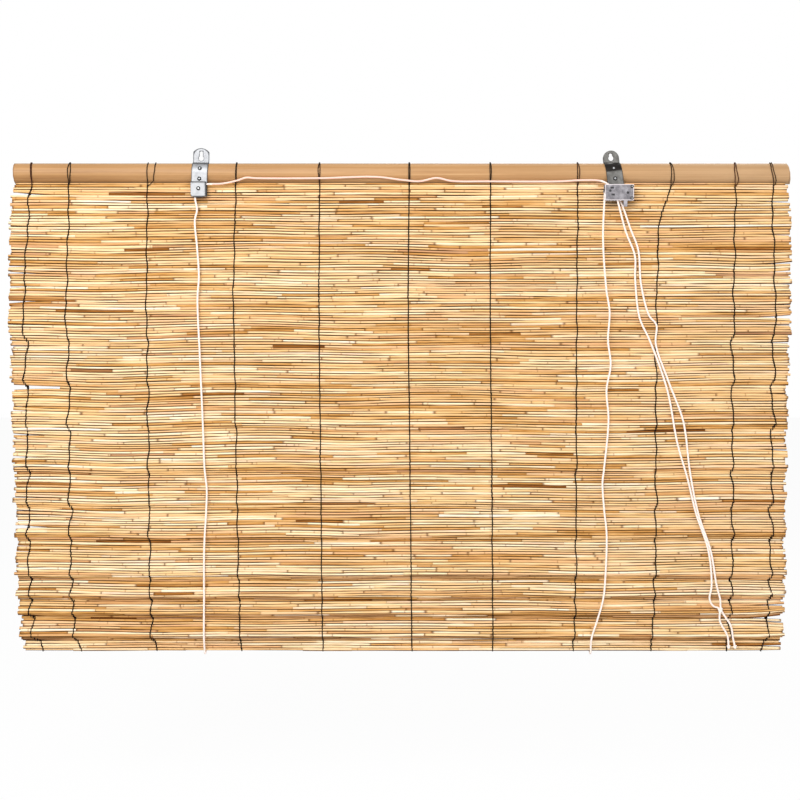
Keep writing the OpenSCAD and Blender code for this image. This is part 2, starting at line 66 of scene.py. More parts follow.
WHITE = (1.0, 1.0, 1.0, 1.0)
Point = tuple[float, float, float]
Face = tuple[int, ...]
Seat = tuple[Vector, Vector]
Pair = tuple[float, float]
Table = tuple[Pair, ...]
Stops = tuple[tuple[float, str], ...]


def read(table: Table, place: float) -> float:
    """Reads a table of places and values, straight between its entries."""
    return float(np.interp(place, *zip(*table)))


def linear(code: str) -> tuple[float, float, float, float]:
    """Turns a screen colour into the scene's linear light.

    Args:
        code: The colour as six hexadecimal digits.

    Returns:
        Red, green, blue and alpha.
    """
    shares = [int(code[i : i + 2], 16) / 255 for i in (0, 2, 4)]
    light = [s / 12.92 if s <= 0.04045 else ((s + 0.055) / 1.055) ** 2.4 for s in shares]
    return light[0], light[1], light[2], 1.0


# Node trees, written as expressions


def math_method(operation: str, swapped: bool = False) -> Callable[..., "Wire"]:
    """Makes a method of Wire that adds one Math node.

    Args:
        operation: The node's operation.
        swapped: True if the wire itself goes last, as in a number minus a wire.

    Returns:
        The method.
    """

    def method(wire: "Wire", *others: "Wire | float") -> "Wire":
        """Adds the node.

        Args:
            wire: The wire whose method this is.
            others: The other operands.

        Returns:
            The node's result.
        """
        operands = (*others, wire) if swapped else (wire, *others)
        values = dict(zip(("Value", "Value_001", "Value_002"), operands))
        made = wire.graph.node("ShaderNodeMath", {"operation": operation}, values)
        return Wire(wire.graph, made.outputs[0])

    return method


@dataclass(frozen=True)
class Wire:
    """One output socket, with arithmetic that adds Math nodes to its tree."""

    graph: "Graph"
    socket: NodeSocket

    __add__ = math_method("ADD")
    __radd__ = math_method("ADD", swapped=True)
    __sub__ = math_method("SUBTRACT")
    __rsub__ = math_method("SUBTRACT", swapped=True)
    __mul__ = math_method("MULTIPLY")
    __rmul__ = math_method("MULTIPLY", swapped=True)
    __truediv__ = math_method("DIVIDE")
    __rtruediv__ = math_method("DIVIDE", swapped=True)
    size = math_method("ABSOLUTE")
    fraction = math_method("FRACT")
    sine = math_method("SINE")
    root = math_method("SQRT")
    angle_from = math_method("ARCTAN2")
    larger = math_method("MAXIMUM")

    def diagonal(self, other: "Wire") -> "Wire":
        """Length of the two taken at right angles."""
        return (self * self + other * other).root()

    def step(self, low: float, high: float) -> "Wire":
        """Rises smoothly from 0 to 1.

        Args:
            low: Where the result is still 0.
            high: Where it is 1. It may lie below low.

        Returns:
            The smooth step.
        """
        values = {"Value": self, "From Min": low, "From Max": high}
        made = self.graph.node("ShaderNodeMapRange", {"interpolation_type": "SMOOTHSTEP"}, values)
        return Wire(self.graph, made.outputs[0])


@dataclass(frozen=True)
class Grain:
    """How fine a noise is: cells to the metre along each axis, and number and weight of its finer layers."""

    cells: Point
    layers: float
    weight: float


@dataclass(frozen=True)
class Graph:
    """A node tree that grows one call at a time."""

    tree: NodeTree

    def node(
        self, kind: str, settings: dict[str, Any] | None = None, values: dict[str, Any] | None = None
    ) -> Node:
        """Adds a node.

        Args:
            kind: The node's type.
            settings: Its own properties, set first. "stops" gives a ramp's places and colours.
            values: What goes into its inputs, by identifier or name: a wire, a socket or a value.

        Returns:
            The new node.
        """
        made = self.tree.nodes.new(kind)
        for key, value in (settings or {}).items():
            if key == "stops":
                self._set_stops(made.color_ramp, value)
            else:
                setattr(made, key, value)
        for key, value in (values or {}).items():
            self.feed(self._input(made, key), value)
        return made

    def feed(self, socket: NodeSocket, value: Any) -> None:
        """Links an input, or sets its own value.

        Args:
            socket: The input.
            value: A wire, an output socket or a plain value.
        """
        if isinstance(value, Wire):
            self.tree.links.new(value.socket, socket)
        elif isinstance(value, NodeSocket):
            self.tree.links.new(value, socket)
        else:
            socket.default_value = value

    @staticmethod
    def _input(made: Node, key: str) -> NodeSocket:
        """Finds an input by its identifier, or else by its name."""
        return next((s for s in made.inputs if s.identifier == key), None) or made.inputs[key]

    @staticmethod
    def _set_stops(ramp: ColorRamp, stops: Stops) -> None:
        """Gives a colour ramp its stops.

        Args:
            ramp: The ramp.
            stops: Places and hexadecimal colours, from left to right.
        """
        while len(ramp.elements) < len(stops):
            ramp.elements.new(1.0)
        for element, (place, code) in zip(ramp.elements, stops):
            element.position = place
            element.color = linear(code)

    def wire(self, made: Node, name: str | int = 0) -> Wire:
        """One of a node's outputs, by name or number."""
        return Wire(self, made.outputs[name])

    def attribute(self, name: str) -> Wire:
        """A number that is stored on the mesh."""
        return self.wire(self.node("ShaderNodeAttribute", {"attribute_name": name}), "Fac")

    def place(self) -> Wire:
        """Object coordinates, in metres."""
        return self.wire(self.node("ShaderNodeTexCoord"), "Object")

    def split(self, vector: Wire) -> tuple[Wire, Wire, Wire]:
        """The three numbers of a vector."""
        made = self.node("ShaderNodeSeparateXYZ", values={"Vector": vector})
        return self.wire(made, 0), self.wire(made, 1), self.wire(made, 2)

    def section(self) -> tuple[Wire, Wire, Wire]:
        """The place on a strand's round section, from -1 to 1."""
        made = self.node("ShaderNodeAttribute", {"attribute_name": "round"})
        return self.split(self.wire(made, "Vector"))

    def noise(self, grain: Grain, shift: Wire | None = None) -> Wire:
        """Cloudy noise from 0 to 1 over the object.

        Args:
            grain: How fine it is.
            shift: Slides it along all three axes, if given.

        Returns:
            The noise.
        """
        values = {"Vector": self.place(), "Vector_001": grain.cells}
        spot = self.wire(self.node("ShaderNodeVectorMath", {"operation": "MULTIPLY"}, values))
        if shift is not None:
            values = {"Vector": spot, "Vector_001": shift}
            spot = self.wire(self.node("ShaderNodeVectorMath", {"operation": "ADD"}, values))
        values = {"Vector": spot, "Scale": 1.0, "Detail": grain.layers, "Roughness": grain.weight}
        return self.wire(self.node("ShaderNodeTexNoise", values=values))

    def ramp(self, share: Wire, stops: Stops) -> Wire:
        """A colour picked along a ramp by a number from 0 to 1."""
        return self.wire(self.node("ShaderNodeValToRGB", {"stops": stops}, {"Fac": share}))

    def mix(self, share: Wire, first: Wire | str, second: Wire | str) -> Wire:
        """Mixes two colours.

        Args:
            share: 0 for the first, 1 for the second.
            first: A wire, or six hexadecimal digits.
            second: A wire, or six hexadecimal digits.

        Returns:
            The mixed colour.
        """
        values = {"Factor_Float": share}
        for key, colour in (("A_Color", first), ("B_Color", second)):
            values[key] = linear(colour) if isinstance(colour, str) else colour
        made = self.node("ShaderNodeMix", {"data_type": "RGBA"}, values)
        return Wire(self, next(s for s in made.outputs if s.identifier == "Result_Color"))

    def bump(self, height: Wire, strength: float, distance: float) -> Wire:
        """Normals bent by a height from 0 to 1, at a share of its effect, where 1 is so many metres."""
        values = {"Height": height, "Strength": strength, "Distance": distance}
        return self.wire(self.node("ShaderNodeBump", values=values))


Grower = Callable[[Graph, NodeOutputs], NodeSocket]


# Finishes


def fresh_graph(owner: Material | World) -> Graph:
    """Empties a node tree.

    Args:
        owner: The material or surround that has the tree.

    Returns:
        The tree, ready to grow.
    """
    owner.use_nodes = True
    owner.node_tree.nodes.clear()
    return Graph(owner.node_tree)


@dataclass(frozen=True)
class Finish:
    """What every finish shares: a name, and a shader that is made once."""

    name: str

    def material(self) -> Material:
        """Makes the finish's material on the first call, and finds it on later ones.

        Returns:
            The material.
        """
        made = bpy.data.materials.get(self.name)
        if made is None:
            made = bpy.data.materials.new(self.name)
            graph = fresh_graph(made)
            shader = graph.node("ShaderNodeBsdfPrincipled", values=self.looks(graph))
            graph.node("ShaderNodeOutputMaterial", values={"Surface": shader.outputs["BSDF"]})
        return made

    def looks(self, graph: Graph) -> dict[str, Any]:
        """What goes into the shader, by the input's name."""
        raise NotImplementedError


@dataclass(frozen=True)
class ReedFinish(Finish):
    """Dried reed: straw tones from reed to reed, fibre streaks, dark joints, cut ends, and painted shade on
    each reed's lower flank and in the grooves between the reeds.
    """

    straw: Stops = (
        (0.0, "5a3011"), (0.14, "96602a"), (0.32, "c69251"), (0.5, "e2b57a"), (0.68, "edc995"),
        (0.84, "f5dcb2"), (1.0, "fdf1da"),
    )
    rosy: str = "e6b78d"
    rosy_share: float = 0.55
    rosy_span: Pair = (0.5, 1.0)
    joint: str = "8a5629"
    joint_share: float = 0.4
    joint_spacing: float = 0.21
    joint_widths: Pair = (0.0016, 0.00064)
    cut_end: str = "5e3617"
    cut_length: float = 0.005
    # flank_shade is painted shade: a brown laid over the lower flank of every reed.
    flank_shade: str = "a06528"
    flank_shade_shares: Pair = (0.12, 0.52)
    flank_shade_span: Pair = (-0.4, 0.55)
    # groove_shade is painted shade: a near-black brown under each reed and along the sides where it meets
    # its neighbours.
    groove_shade: str = "381904"
    groove_shade_shares: Pair = (0.2, 0.78)
    groove_shade_span: Pair = (0.04, 0.6)
    side_shade_span: Pair = (0.6, 0.9)
    fibre: Grain = Grain((9.0, 1500.0, 1500.0), 3.0, 0.6)
    fibre_tone: float = 0.25
    blotch: Grain = Grain((18.0, 120.0, 120.0), 3.0, 0.6)
    blotch_tone: float = 0.5
    shade: Grain = Grain((10.0, 40.0, 230.0), 2.0, 0.5)
    shade_span: Pair = (0.37, 0.57)
    reed_shifts: Point = (40.0, 60.0, 7.0)
    rough: Pair = (0.5, 0.25)
    specular: float = 0.06
    relief: Pair = (0.35, 0.0003)
    fibre_relief: float = 0.7

    def looks(self, graph: Graph) -> dict[str, Any]:
        """Works out what goes into the shader.

        Args:
            graph: The material's tree.

        Returns:
            A wire or a value for each input that is set, by the input's name.
        """
        tone, warm, cut = graph.attribute("tone"), graph.attribute("warm"), graph.attribute("cut")
        start, end = graph.attribute("from_start"), graph.attribute("from_end")
        fibre_shift, blotch_shift, joint_shift = self.reed_shifts
        fibre = graph.noise(self.fibre, tone * fibre_shift)
        blotch = graph.noise(self.blotch, warm * blotch_shift)
        mottled = (blotch - 0.5) * self.blotch_tone + (fibre - 0.5) * self.fibre_tone
        colour = graph.ramp(tone + mottled, self.straw)
        colour = graph.mix(warm.step(*self.rosy_span) * self.rosy_share, colour, self.rosy)

        beat = (start / self.joint_spacing + warm * joint_shift).fraction()
        ring = ((beat - 0.5).size() * self.joint_spacing).step(*self.joint_widths)
        colour = graph.mix(ring * self.joint_share, colour, self.joint)
        tip = start.step(self.cut_length, 0.0).larger(end.step(self.cut_length, 0.0))
        colour = graph.mix(tip * cut, colour, self.cut_end)

        low = graph.section()[1]
        deep = graph.noise(self.shade).step(*self.shade_span)
        # Painted shade on each reed's lower flank, stronger where the shade noise is deep.
        least, more = self.flank_shade_shares
        colour = graph.mix(low.step(*self.flank_shade_span) * (least + deep * more), colour, self.flank_shade)
        # Painted shade in the grooves between the reeds: under each reed and along both sides that meet the
        # next rows.
        least, more = self.groove_shade_shares
        under = low.step(*self.groove_shade_span).larger(low.size().step(*self.side_shade_span))
        colour = graph.mix(under * (least + deep * more), colour, self.groove_shade)
        return {
            "Base Color": colour,
            "Roughness": self.rough[0] + fibre * self.rough[1],
            "Specular IOR Level": self.specular,
            "Normal": graph.bump(fibre * self.fibre_relief - ring, *self.relief),
        }


@dataclass(frozen=True)
class BambooFinish(Finish):
    """Varnished split bamboo: honey tones, fine lines along its length, painted shade along its rounded
    upper and lower edges, and raw cut ends.
    """

    honey: Stops = ((0.1, "875c34"), (0.35, "a2784b"), (0.6, "b48a5d"), (0.9, "c8a175"))
    # edge is painted shade, laid along the rounded upper and lower edges and heaviest along the top, which
    # the key lamp lights most.
    edge: str = "5f3d1c"
    edge_shade_shares: Pair = (0.8, 0.45)
    upper_shade_span: Pair = (0.9, 1.0)
    edge_shade_span: Pair = (0.86, 1.0)
    raw: str = "6e4720"
    raw_share: float = 0.6
    raw_width: float = 0.0025
    grey: str = "ab9477"
    grey_share: float = 0.3
    grey_span: Pair = (0.1, 0.55)
    hollow: str = "c9a878"
    hollow_share: float = 0.35
    hollow_span: Pair = (-0.009, -0.0015)
    fine: Grain = Grain((4.0, 900.0, 900.0), 4.0, 0.65)
    band: Grain = Grain((1.6, 130.0, 130.0), 2.0, 0.5)
    patch: Grain = Grain((3.2, 4.0, 14.0), 2.0, 0.5)
    grain_tones: Point = (0.9, 0.5, 0.6)
    rightward_tone: float = 0.12
    half_length: float = 0.6
    middle_x: float = -0.007
    middle_z: float = -0.024
    half_height: float = 0.016
    rough: Pair = (0.36, 0.2)
    specular: float = 0.25
    coat: float = 0.04
    coat_rough: float = 0.4
    relief: Pair = (0.3, 0.0004)
    fine_relief: float = 0.6

    def looks(self, graph: Graph) -> dict[str, Any]:
        """Works out what goes into the shader.

        Args:
            graph: The material's tree.

        Returns:
            A wire or a value for each input that is set, by the input's name.
        """
        x, y, z = graph.split(graph.place())
        fine, band, patch = (graph.noise(grain) for grain in (self.fine, self.band, self.patch))
        share = 0.5 + x * self.rightward_tone
        for noise, weight in zip((fine, band, patch), self.grain_tones):
            share = share + (noise - 0.5) * weight
        colour = graph.ramp(share, self.honey)
        # Painted shade along the rail's rounded edges, strongest on the upper edge.
        rise = (z - self.middle_z) / self.half_height
        upper, both = self.edge_shade_shares
        edge = (rise.step(*self.upper_shade_span) * upper).larger(rise.size().step(*self.edge_shade_span) * both)
        colour = graph.mix(edge, colour, self.edge)
        raw = (x - self.middle_x).size().step(self.half_length - self.raw_width, self.half_length)
        colour = graph.mix(raw * self.raw_share, colour, self.raw)
        colour = graph.mix(x.step(*self.grey_span) * self.grey_share, colour, self.grey)
        colour = graph.mix(y.step(*self.hollow_span) * self.hollow_share, colour, self.hollow)
        height = fine * self.fine_relief + band * (1.0 - self.fine_relief)
        return {
            "Base Color": colour,
            "Roughness": self.rough[0] + fine * self.rough[1],
            "Specular IOR Level": self.specular,
            "Coat Weight": self.coat,
            "Coat Roughness": self.coat_rough,
            "Normal": graph.bump(height, *self.relief),
        }


@dataclass(frozen=True)
class TwineFinish(Finish):
    """Twisted twine or cord: slanting plies, fuzz, and a tint on some stretches: the ties' own reddish
    colour, and painted shade on the cord where it runs along the headrail.
    """

    light: str = "ffffff"
    dark: str = "808080"
    tinted: str = "808080"
    tint_share: float = 0.8
    plies: int = 2
    lay: float = 0.004
    fuzz: float = 0.2
    fibre: Grain = Grain((2600.0, 2600.0, 2600.0), 2.0, 0.6)
    rough: Pair = (0.78, 0.2)
    specular: float = 0.12
    relief: Pair = (0.6, 0.00025)
    ply_relief: float = 0.8

    def looks(self, graph: Graph) -> dict[str, Any]:
        """Works out what goes into the shader.

        Args:
            graph: The material's tree.

        Returns:
            A wire or a value for each input that is set, by the input's name.
        """
        across, up, _ = graph.section()
        turn = up.angle_from(across) * float(self.plies)
        ply = (turn + graph.attribute("from_start") * (math.tau / self.lay)).sine() * 0.5 + 0.5
        fibre = graph.noise(self.fibre)
        colour = graph.mix(ply * (1.0 - self.fuzz) + fibre * self.fuzz, self.dark, self.light)
        colour = graph.mix(graph.attribute("tint") * self.tint_share, colour, self.tinted)
        height = ply * self.ply_relief + fibre * (1.0 - self.ply_relief)
        return {
            "Base Color": colour,
            "Roughness": self.rough[0] + fibre * self.rough[1],
            "Specular IOR Level": self.specular,
            "Normal": graph.bump(height, *self.relief),
        }


@dataclass(frozen=True)
class SheetFinish(Finish):
    """Plated sheet steel: rolling marks, cloudy plating, a dull film that comes and goes, and painted shade
    on the marked rings of fasteners.
    """

    light: str = "e2e3e4"
    dark: str = "a9abad"
    rough: float = 0.34
    cloudy_rough: float = 0.16
    ring_shade_rough: float = 0.4
    metal: float = 0.9
    cloudy_metal: float = 0.15
    # A near-black painted shade for the dip round a fastener's dome.
    grime: str = "16130f"
    grime_share: float = 0.94
    rolled: Grain = Grain((1400.0, 900.0, 60.0), 3.0, 0.6)
    cloud: Grain = Grain((110.0, 110.0, 110.0), 4.0, 0.6)
    cloud_span: Pair = (0.3, 0.7)
    cloud_share: float = 0.7
    relief: Pair = (0.18, 0.0002)
    rolled_relief: float = 0.7

    def looks(self, graph: Graph) -> dict[str, Any]:
        """Works out what goes into the shader.

        Args:
            graph: The material's tree.

        Returns:
            A wire or a value for each input that is set, by the input's name.
        """
        rolled, cloud, grime = graph.noise(self.rolled), graph.noise(self.cloud), graph.attribute("grime")
        share = cloud.step(*self.cloud_span) * self.cloud_share + rolled * (1.0 - self.cloud_share)
        colour = self.marked(graph, graph.mix(share, self.dark, self.light))
        height = rolled * self.rolled_relief + cloud * (1.0 - self.rolled_relief)
        # Painted shade: the marked rings of a fastener, the dip round its dome, are darkened and roughened.
        return {
            "Base Color": graph.mix(grime * self.grime_share, colour, self.grime),
            "Metallic": self.metal - cloud * self.cloudy_metal,
            "Roughness": self.rough + cloud * self.cloudy_rough + grime * self.ring_shade_rough,
            "Normal": graph.bump(height, *self.relief),
        }

    def marked(self, graph: Graph, colour: Wire) -> Wire:
        """The colour with the plate's painted rim and shade, of which plain sheet has none."""
        return colour


@dataclass(frozen=True)
class PlateFinish(SheetFinish):
    """Sheet steel whose outline is picked out by a painted rim, which is painted shade where it is dark and
    a painted highlight where it is pale: a strap with a round top, or a square cover.
    """

    middle: Pair = (0.0, 0.0)
    half: Pair = (0.0125, 0.0125)
    lean: float = 0.0
    arched: bool = False
    arch_up: float = 0.003
    keyhole_r: float = 0.004
    slot_half: float = 0.0025
    slot_top: float = 0.0085
    slot_foot: float = 0.001
    hole_edge: Pair = (0.0012, 0.0003)
    # The rim is painted light: a dark colour paints shade along the edge, a pale one paints a highlight.
    rim: str = "63666a"
    rim_width: float = 0.0013
    rim_fade: float = 0.3
    rim_share: float = 0.85
    # The band is painted: shade at the left strap's bend, a dark reflection on the right strap's curved
    # shoulder, and the shadow of the gap above the pulley cover.
    band: Pair = (1.0, 1.0)
    shade_band_colour: str = "15100d"
    shade_band_blur: float = 0.0015
    shade_band_share: float = 0.93

    def _keyhole(self, across: Wire, along: Wire) -> Wire:
        """1 round the edge of the keyhole, fading to 0 away from it.

        Args:
            across: Distance from the strap's middle line.
            along: Distance above the keyhole's round part.

        Returns:
            The edge.
        """
        far, near = self.hole_edge
        tip = self.slot_top + self.slot_half
        hole = across.diagonal(along).step(self.keyhole_r + far, self.keyhole_r + near)
        slot = across.step(self.slot_half + far, self.slot_half + near) * along.step(tip + far, tip + near)
        return hole.larger(slot * along.step(0.0, self.slot_foot))

    def marked(self, graph: Graph, colour: Wire) -> Wire:
        """Draws the painted rim with the painted shade round the keyhole's edge, and a band of painted
        shade.

        Args:
            graph: The material's tree.
            colour: The plain plate's colour.

        Returns:
            The colour with its marks.
        """
        x, _, z = graph.split(graph.place())
        slope = math.radians(self.lean)
        dx, dz = x - self.middle[0], z - self.middle[1]
        across = (dx * math.cos(slope) + dz * math.sin(slope)).size()
        along = dz * math.cos(slope) - dx * math.sin(slope)
        if self.arched:
            outside = across.diagonal((along - self.arch_up).larger(0.0)) - self.half[0]
        else:
            outside = (across - self.half[0]).larger(along.size() - self.half[1])
        # Painted rim along the sheet's edge and the keyhole's edge: shade where its colour is dark, a
        # highlight where it is pale.
        rim = outside.step(-self.rim_width, -self.rim_fade * self.rim_width)
        if self.arched:
            rim = rim.larger(self._keyhole(across, along))
        # A band of painted shade across the plate, between the band's two heights.
        top, foot = self.band
        below_top = along.step(top + self.shade_band_blur, top - self.shade_band_blur)
        above_foot = along.step(foot - self.shade_band_blur, foot + self.shade_band_blur)
        colour = graph.mix(above_foot * below_top * self.shade_band_share, colour, self.shade_band_colour)
        return graph.mix(rim * self.rim_share, colour, self.rim)


REED = ReedFinish("dried_reed")
BAMBOO = BambooFinish("varnished_bamboo")
THREAD = TwineFinish("black_twine", light="1b1411", dark="070504", tinted="4b2318", lay=0.003, fuzz=0.3)
CORD = TwineFinish(
    "off_white_cord", light="fff8f3", dark="e3cfc3", tinted="eec7b8", plies=3, lay=0.0075, fuzz=0.25,
)
# The dark rims of the straps and the pulley cover are painted shade; the lock cover's pale rim is a painted
# highlight.
LEFT_STRAP = PlateFinish(
    "bright_plated_strap", light="a9aaac", dark="858689", rough=0.46, middle=(-0.318, 0.0), lean=-2.0,
    arched=True, rim="2e3033", rim_width=0.0017, band=(-0.0078, -0.0096),
)
RIGHT_STRAP = PlateFinish(
    "dark_plated_strap", light="757471", dark="4b4946", rough=0.36, middle=(0.318, 0.0), lean=8.0,
    arched=True, slot_top=0.005, rim="34312e", band=(-0.0085, -0.0215),
)
PULLEY_COVER = PlateFinish(
    "bright_plated_cover", light="a9aaac", dark="88898c", rough=0.46, middle=(-0.3206, -0.0485),
    half=(0.012, 0.0125), rim="1e1f22", rim_width=0.0018, band=(0.0125, 0.0088),
)
LOCK_COVER = PlateFinish(
    "grey_plated_cover", light="969397", dark="545155", rough=0.36, middle=(0.3273, -0.0552),
    half=(0.022, 0.0122), rim="d9d0d1",
)
LOCK_STEEL = SheetFinish("grey_plated_steel", light="a5a2a6", dark="757276", rough=0.36)
WHEEL_STEEL = SheetFinish("turned_steel", light="4a494b", dark="252427", rough=0.36)
SCREW_STEEL = SheetFinish("plated_fastener_steel", light="d0d1d2", dark="909194", rough=0.26)


# Meshes, strands and studs


def new_piece(
    name: str, points: Sequence[Point], faces: Sequence[Face] = (), edges: Sequence[tuple[int, int]] = ()
) -> Object:
    """Adds an object with a mesh of its own to the scene.

    Args:
        name: The object's name.
        points: The mesh's corners, in metres.
        faces: Its faces, by the numbers of their corners.
        edges: Its loose edges.

    Returns:
        The object, at the origin.
    """
    mesh = bpy.data.meshes.new(name)
    mesh.from_pydata(points, edges, faces)
    piece = bpy.data.objects.new(name, mesh)
    bpy.context.scene.collection.objects.link(piece)
    return piece


def apply_modifiers(piece: Object) -> None:
    """Replaces a piece's mesh by what its modifiers make of it.

    Args:
        piece: The piece, which is left without modifiers.
    """
    depsgraph = bpy.context.evaluated_depsgraph_get()
    made = bpy.data.meshes.new_from_object(
        piece.evaluated_get(depsgraph), preserve_all_data_layers=True, depsgraph=depsgraph
    )
    piece.modifiers.clear()
    piece.data = made


def set_material(piece: Object, material: Material) -> None:
    """Gives a whole piece one material."""
    piece.data.materials.clear()
    piece.data.materials.append(material)


def walls(rings: int, corners: int) -> list[Face]:
    """Faces between closed rings of corners, from each ring to the next."""
    steps = [(i * corners, k, (k + 1) % corners) for i in range(rings - 1) for k in range(corners)]
    return [(at + k, at + n, at + n + corners, at + k + corners) for at, k, n in steps]


def capped_walls(rings: int, corners: int) -> list[Face]:
    """Faces between closed rings, with one face over the first ring and one over the last.

    Args:
        rings: Number of rings.
        corners: Corners of each ring.

    Returns:
        The faces, by the numbers of their corners.
    """
    last = (rings - 1) * corners
    first_cap, last_cap = tuple(range(corners - 1, -1, -1)), tuple(range(last, last + corners))
    return [first_cap, *walls(rings, corners), last_cap]


def shade_walls(piece: Object) -> None:
    """Shades the four-cornered faces smooth and leaves the caps flat."""
    mesh = piece.data
    mesh.polygons.foreach_set("use_smooth", [len(p.vertices) == 4 for p in mesh.polygons])


def carve(piece: Object, points: Sequence[Point], faces: Sequence[Face]) -> None:
    """Cuts a closed shape out of a piece.

    Args:
        piece: The piece, whose mesh is replaced.
        points: The shape's corners, in metres.
        faces: Its faces.
    """
    cutter = new_piece(piece.name + "_cutter", points, faces)
    cut = piece.modifiers.new("cut", "BOOLEAN")
    cut.operation, cut.solver, cut.object = "DIFFERENCE", "EXACT", cutter
    apply_modifiers(piece)
    bpy.data.objects.remove(cutter)


class Recipe:
    """A Geometry Nodes tree, made once under its name, whose result is a plain mesh with one finish."""

    def __init__(self, name: str, inputs: dict[str, str], grow: Grower) -> None:
        """Finds the tree or makes it.

        Args:
            name: The tree's name.
            inputs: The kind of each input, by its name. One of them is Finish.
            grow: Adds the nodes between the inputs and the shape, and returns the shape's socket.
        """
        self.tree = bpy.data.node_groups.get(name)
        if self.tree is None:
            self.tree = bpy.data.node_groups.new(name, "GeometryNodeTree")
            for key, kind in inputs.items():
                self.tree.interface.new_socket(name=key, in_out="INPUT", socket_type=kind)
            self.tree.interface.new_socket(name="Mesh", in_out="OUTPUT", socket_type="NodeSocketGeometry")
            graph = Graph(self.tree)
            given = graph.node("NodeGroupInput").outputs
            real = graph.node("GeometryNodeRealizeInstances", values={"Geometry": grow(graph, given)})
            values = {"Geometry": real.outputs[0], "Material": given["Finish"]}
            dressed = graph.node("GeometryNodeSetMaterial", values=values)
            graph.node("NodeGroupOutput", values={"Mesh": dressed.outputs[0]})

    def run(self, piece: Object, values: dict[str, Any]) -> None:
        """Runs the tree on a piece and leaves it a plain mesh.

        Args:
            piece: The object that holds the tree's first input.
            values: Values of the other inputs, by name.
        """
        modifier = piece.modifiers.new(self.tree.name, "NODES")
        modifier.node_group = self.tree
        for item in self.tree.interface.items_tree:
            if item.in_out == "INPUT" and item.name in values:
                modifier[item.identifier] = values[item.name]
        apply_modifiers(piece)
        set_material(piece, values["Finish"])


@dataclass
class Strand:
    """One round strand: its middle line and radius in metres, and numbers for its finish."""

    points: list[Vector]
    girth: list[float]
    facts: dict[str, float | list[float]]

    @classmethod
    def even(cls, points: Sequence[Vector], radius: float, **facts: float | list[float]) -> "Strand":
        """A strand of one thickness, from points and a radius in millimetres."""
        return cls([p * MM for p in points], [radius * MM] * len(points), facts)

    def lengths(self) -> list[float]:
        """Distance along the strand from its start to each point."""
        steps = [(b - a).length for a, b in zip(self.points, self.points[1:])]
        return [0.0, *np.cumsum(steps).tolist()]

    def columns(self) -> dict[str, list[float]]:
        """Spreads the strand's numbers over its points.

        Returns:
            A number for every point, by name: radius, way to both ends, and the finish's own.
        """
        way = self.lengths()
        made = {"girth": self.girth, "from_start": way, "from_end": [way[-1] - w for w in way]}
        for key, fact in self.facts.items():
            made[key] = fact if isinstance(fact, list) else [fact] * len(way)
        return made


class Roll(Enum):
    """How a strand's section turns along the strand."""

    LEVEL = "Z_UP"
    FREE = "MINIMUM_TWIST"


@dataclass(frozen=True)
class Sweep:
    """Sweeps a round section along polylines, with a Geometry Nodes tree."""

    name: str
    roll: Roll
    sides: int

    def _grow(self, graph: Graph, given: NodeOutputs) -> NodeSocket:
        """Turns lines into tubes that keep their place on the round section.

        Args:
            graph: The tree.
            given: The tree's inputs Lines and Sides.

        Returns:
            The tubes.
        """
        lines = graph.node("GeometryNodeMeshToCurve", values={"Mesh": given["Lines"]})
        turned = graph.node(
            "GeometryNodeSetCurveNormal", {"mode": self.roll.value}, {"Curve": lines.outputs[0]}
        )
        values = {"Resolution": given["Sides"], "Radius": 1.0}
        circle = graph.node("GeometryNodeCurvePrimitiveCircle", values=values)
        spot = graph.node("GeometryNodeInputPosition")
        section = graph.node(
            "GeometryNodeStoreNamedAttribute",
            {"data_type": "FLOAT_VECTOR", "domain": "POINT"},
            {"Geometry": circle.outputs["Curve"], "Name": "round", "Value": spot.outputs[0]},
        )
        girth = graph.node("GeometryNodeInputNamedAttribute", {"data_type": "FLOAT"}, {"Name": "girth"})
        values = {
            "Curve": turned.outputs[0],
            "Profile Curve": section.outputs[0],
            "Scale": girth.outputs["Attribute"],
            "Fill Caps": True,
        }
        tubes = graph.node("GeometryNodeCurveToMesh", values=values)
        return graph.node("GeometryNodeSetShadeSmooth", values={"Geometry": tubes.outputs[0]}).outputs[0]

    def piece(self, name: str, strands: Sequence[Strand], finish: Finish) -> Object:
        """Builds one piece from strands.

        Args:
            name: The piece's name.
            strands: Its strands.
            finish: Its finish.

        Returns:
            The piece, a plain mesh at the origin.
        """
        points: list[Point] = []
        edges: list[tuple[int, int]] = []
        columns: dict[str, list[float]] = {}
        for strand in strands:
            first = len(points)
            points += [tuple(p) for p in strand.points]
            edges += [(i, i + 1) for i in range(first, len(points) - 1)]
            for key, numbers in strand.columns().items():
                columns.setdefault(key, []).extend(numbers)
        made = new_piece(name, points, edges=edges)
        for key, numbers in columns.items():
            made.data.attributes.new(key, "FLOAT", "POINT").data.foreach_set("value", numbers)
        inputs = {"Lines": "NodeSocketGeometry", "Sides": "NodeSocketInt", "Finish": "NodeSocketMaterial"}
        recipe = Recipe(self.name, inputs, self._grow)
        recipe.run(made, {"Sides": self.sides, "Finish": finish.material()})
        shade_walls(made)
        return made


